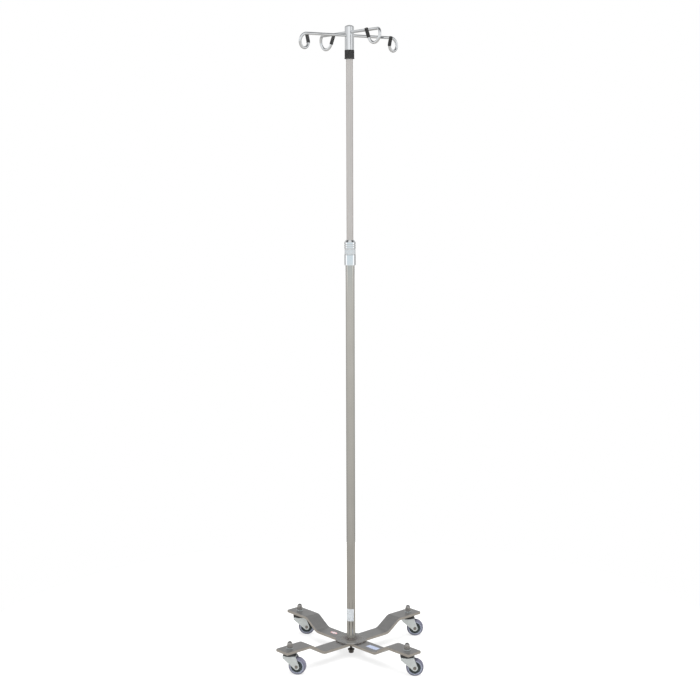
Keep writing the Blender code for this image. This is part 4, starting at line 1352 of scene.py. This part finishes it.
def build_stage(stage):
    """Floor, lights and camera."""
    scene = bpy.context.scene
    scene.view_settings.view_transform = "Standard"
    floor = drum(FLOOR_RADIUS, -FLOOR_DEPTH, 0, 128)
    coated(floor, floor_finish(FLOOR_TINT, FLOOR_MIRRORED_TINT, FLOOR_GLOW))
    ground = bpy.data.objects.new("studio_floor", floor)
    scene.collection.objects.link(ground)
    studio_world(stage.surround)
    add_softbox("left_softbox", (-2.6, -1.6, 1.6), (0, 0, 0.9), 1.2, 2.2, stage.side_light)
    add_softbox("right_softbox", (2.8, -1.2, 1.5), (0, 0, 0.9), 1.2, 2.2, stage.side_light)
    add_softbox("overhead_softbox", (0, -0.2, 3.4), (0, 0, 0), 4.0, 4.0, stage.top_light)
    lens = bpy.data.cameras.new("view")
    lens.lens = stage.lens
    lens.sensor_width = 36
    lens.clip_start, lens.clip_end = 0.05, 100
    camera = bpy.data.objects.new("view", lens)
    aim = turn(stage.heading) @ turn(pi / 2 - stage.dip, "X") @ turn(stage.roll)
    camera.matrix_world = Matrix.Translation(stage.camera_place) @ aim
    scene.collection.objects.link(camera)
    scene.camera = camera


# ---------------------------------------------------------------- operators
class DRIP_STAND_OT_poles(bpy.types.Operator):
    """Build both pole tubes and finish the glides inside them"""
    bl_idname = "drip_stand.poles"
    bl_label = "Pole tubes"

    def execute(self, context):
        pole_pieces(context.scene.drip_stand_details)
        return {"FINISHED"}


class DRIP_STAND_OT_lock(bpy.types.Operator):
    """Build the slide lock's collar and grip sleeve"""
    bl_idname = "drip_stand.lock"
    bl_label = "Slide lock"

    def execute(self, context):
        lock_pieces(context.scene.drip_stand_details)
        return {"FINISHED"}


class DRIP_STAND_OT_neck(bpy.types.Operator):
    """Build the ribbed black bushing under the head"""
    bl_idname = "drip_stand.neck"
    bl_label = "Neck bushing"

    def execute(self, context):
        neck_piece(context.scene.drip_stand_details)
        return {"FINISHED"}


class DRIP_STAND_OT_head(bpy.types.Operator):
    """Build the drilled head tube and its domed cap"""
    bl_idname = "drip_stand.head"
    bl_label = "Head"

    def execute(self, context):
        head_pieces(context.scene.drip_stand_details)
        return {"FINISHED"}


class DRIP_STAND_OT_rods(bpy.types.Operator):
    """Build the two hook rods"""
    bl_idname = "drip_stand.rods"
    bl_label = "Hook rods"

    def execute(self, context):
        rod_pieces(context.scene.drip_stand_details)
        return {"FINISHED"}


class DRIP_STAND_OT_tips(bpy.types.Operator):
    """Build the vinyl caps on the hook ends"""
    bl_idname = "drip_stand.tips"
    bl_label = "Hook tips"

    def execute(self, context):
        tip_pieces(context.scene.drip_stand_details)
        return {"FINISHED"}


class DRIP_STAND_OT_legs(bpy.types.Operator):
    """Build the four cranked legs"""
    bl_idname = "drip_stand.legs"
    bl_label = "Legs"

    def execute(self, context):
        leg_pieces()
        return {"FINISHED"}


class DRIP_STAND_OT_hub(bpy.types.Operator):
    """Build the hub plate and its welds"""
    bl_idname = "drip_stand.hub"
    bl_label = "Hub"

    def execute(self, context):
        hub_pieces(context.scene.drip_stand_details)
        tack_pieces()
        return {"FINISHED"}


class DRIP_STAND_OT_bolt(bpy.types.Operator):
    """Build the hub's bolt and washer"""
    bl_idname = "drip_stand.bolt"
    bl_label = "Hub bolt"

    def execute(self, context):
        bolt_pieces(context.scene.drip_stand_details)
        return {"FINISHED"}


class DRIP_STAND_OT_studs(bpy.types.Operator):
    """Build the domed nuts, washers and swivel rings at the leg ends, whose black skirts are partly painted shade"""
    bl_idname = "drip_stand.studs"
    bl_label = "Stud fixings"

    def execute(self, context):
        stud_pieces()
        return {"FINISHED"}


class DRIP_STAND_OT_forks(bpy.types.Operator):
    """Build the caster forks and their rivets"""
    bl_idname = "drip_stand.forks"
    bl_label = "Caster forks"

    def execute(self, context):
        fork_pieces()
        return {"FINISHED"}


class DRIP_STAND_OT_wheels(bpy.types.Operator):
    """Build the wheel cores and treads"""
    bl_idname = "drip_stand.wheels"
    bl_label = "Wheels"

    def execute(self, context):
        wheel_pieces(context.scene.drip_stand_details)
        return {"FINISHED"}


class DRIP_STAND_OT_labels(bpy.types.Operator):
    """Build the blank labels"""
    bl_idname = "drip_stand.labels"
    bl_label = "Labels"

    def execute(self, context):
        label_pieces()
        return {"FINISHED"}


class DRIP_STAND_OT_stage(bpy.types.Operator):
    """Build the floor, lights and camera"""
    bl_idname = "drip_stand.stage"
    bl_label = "Studio"

    def execute(self, context):
        build_stage(context.scene.drip_stand_stage)
        return {"FINISHED"}


PIECE_OPERATORS = (
    DRIP_STAND_OT_poles, DRIP_STAND_OT_lock, DRIP_STAND_OT_neck, DRIP_STAND_OT_head, DRIP_STAND_OT_rods,
    DRIP_STAND_OT_tips, DRIP_STAND_OT_legs, DRIP_STAND_OT_hub, DRIP_STAND_OT_bolt, DRIP_STAND_OT_studs,
    DRIP_STAND_OT_forks, DRIP_STAND_OT_wheels, DRIP_STAND_OT_labels, DRIP_STAND_OT_stage,
)


class DRIP_STAND_PT_panel(bpy.types.Panel):
    """Lists the stand's operators and settings"""
    bl_idname = "DRIP_STAND_PT_panel"
    bl_label = "IV drip stand"
    bl_space_type = "VIEW_3D"
    bl_region_type = "UI"
    bl_category = "Drip stand"

    def draw(self, context):
        layout = self.layout
        for operator in PIECE_OPERATORS:
            layout.operator(operator.bl_idname)
        for settings in (context.scene.drip_stand_details, context.scene.drip_stand_finishes,
                         context.scene.drip_stand_stage):
            box = layout.box()
            for key in settings.__annotations__:
                box.prop(settings, key)


SETTINGS = {
    "drip_stand_finishes": DripStandFinishes,
    "drip_stand_details": DripStandDetails,
    "drip_stand_stage": DripStandStage,
}


def register():
    for item in (*SETTINGS.values(), *PIECE_OPERATORS, DRIP_STAND_PT_panel):
        bpy.utils.register_class(item)
    for key, group in SETTINGS.items():
        setattr(bpy.types.Scene, key, PointerProperty(type=group))


def unregister():
    for key in SETTINGS:
        delattr(bpy.types.Scene, key)
    for item in (DRIP_STAND_PT_panel, *reversed(PIECE_OPERATORS), *SETTINGS.values()):
        bpy.utils.unregister_class(item)


def main():
    """Builds every piece and the stage."""
    register()
    bpy.ops.drip_stand.poles()
    bpy.ops.drip_stand.lock()
    bpy.ops.drip_stand.neck()
    bpy.ops.drip_stand.head()
    bpy.ops.drip_stand.rods()
    bpy.ops.drip_stand.tips()
    bpy.ops.drip_stand.legs()
    bpy.ops.drip_stand.hub()
    bpy.ops.drip_stand.bolt()
    bpy.ops.drip_stand.studs()
    bpy.ops.drip_stand.forks()
    bpy.ops.drip_stand.wheels()
    bpy.ops.drip_stand.labels()
    bpy.ops.drip_stand.stage()


if __name__ == "__main__":
    main()
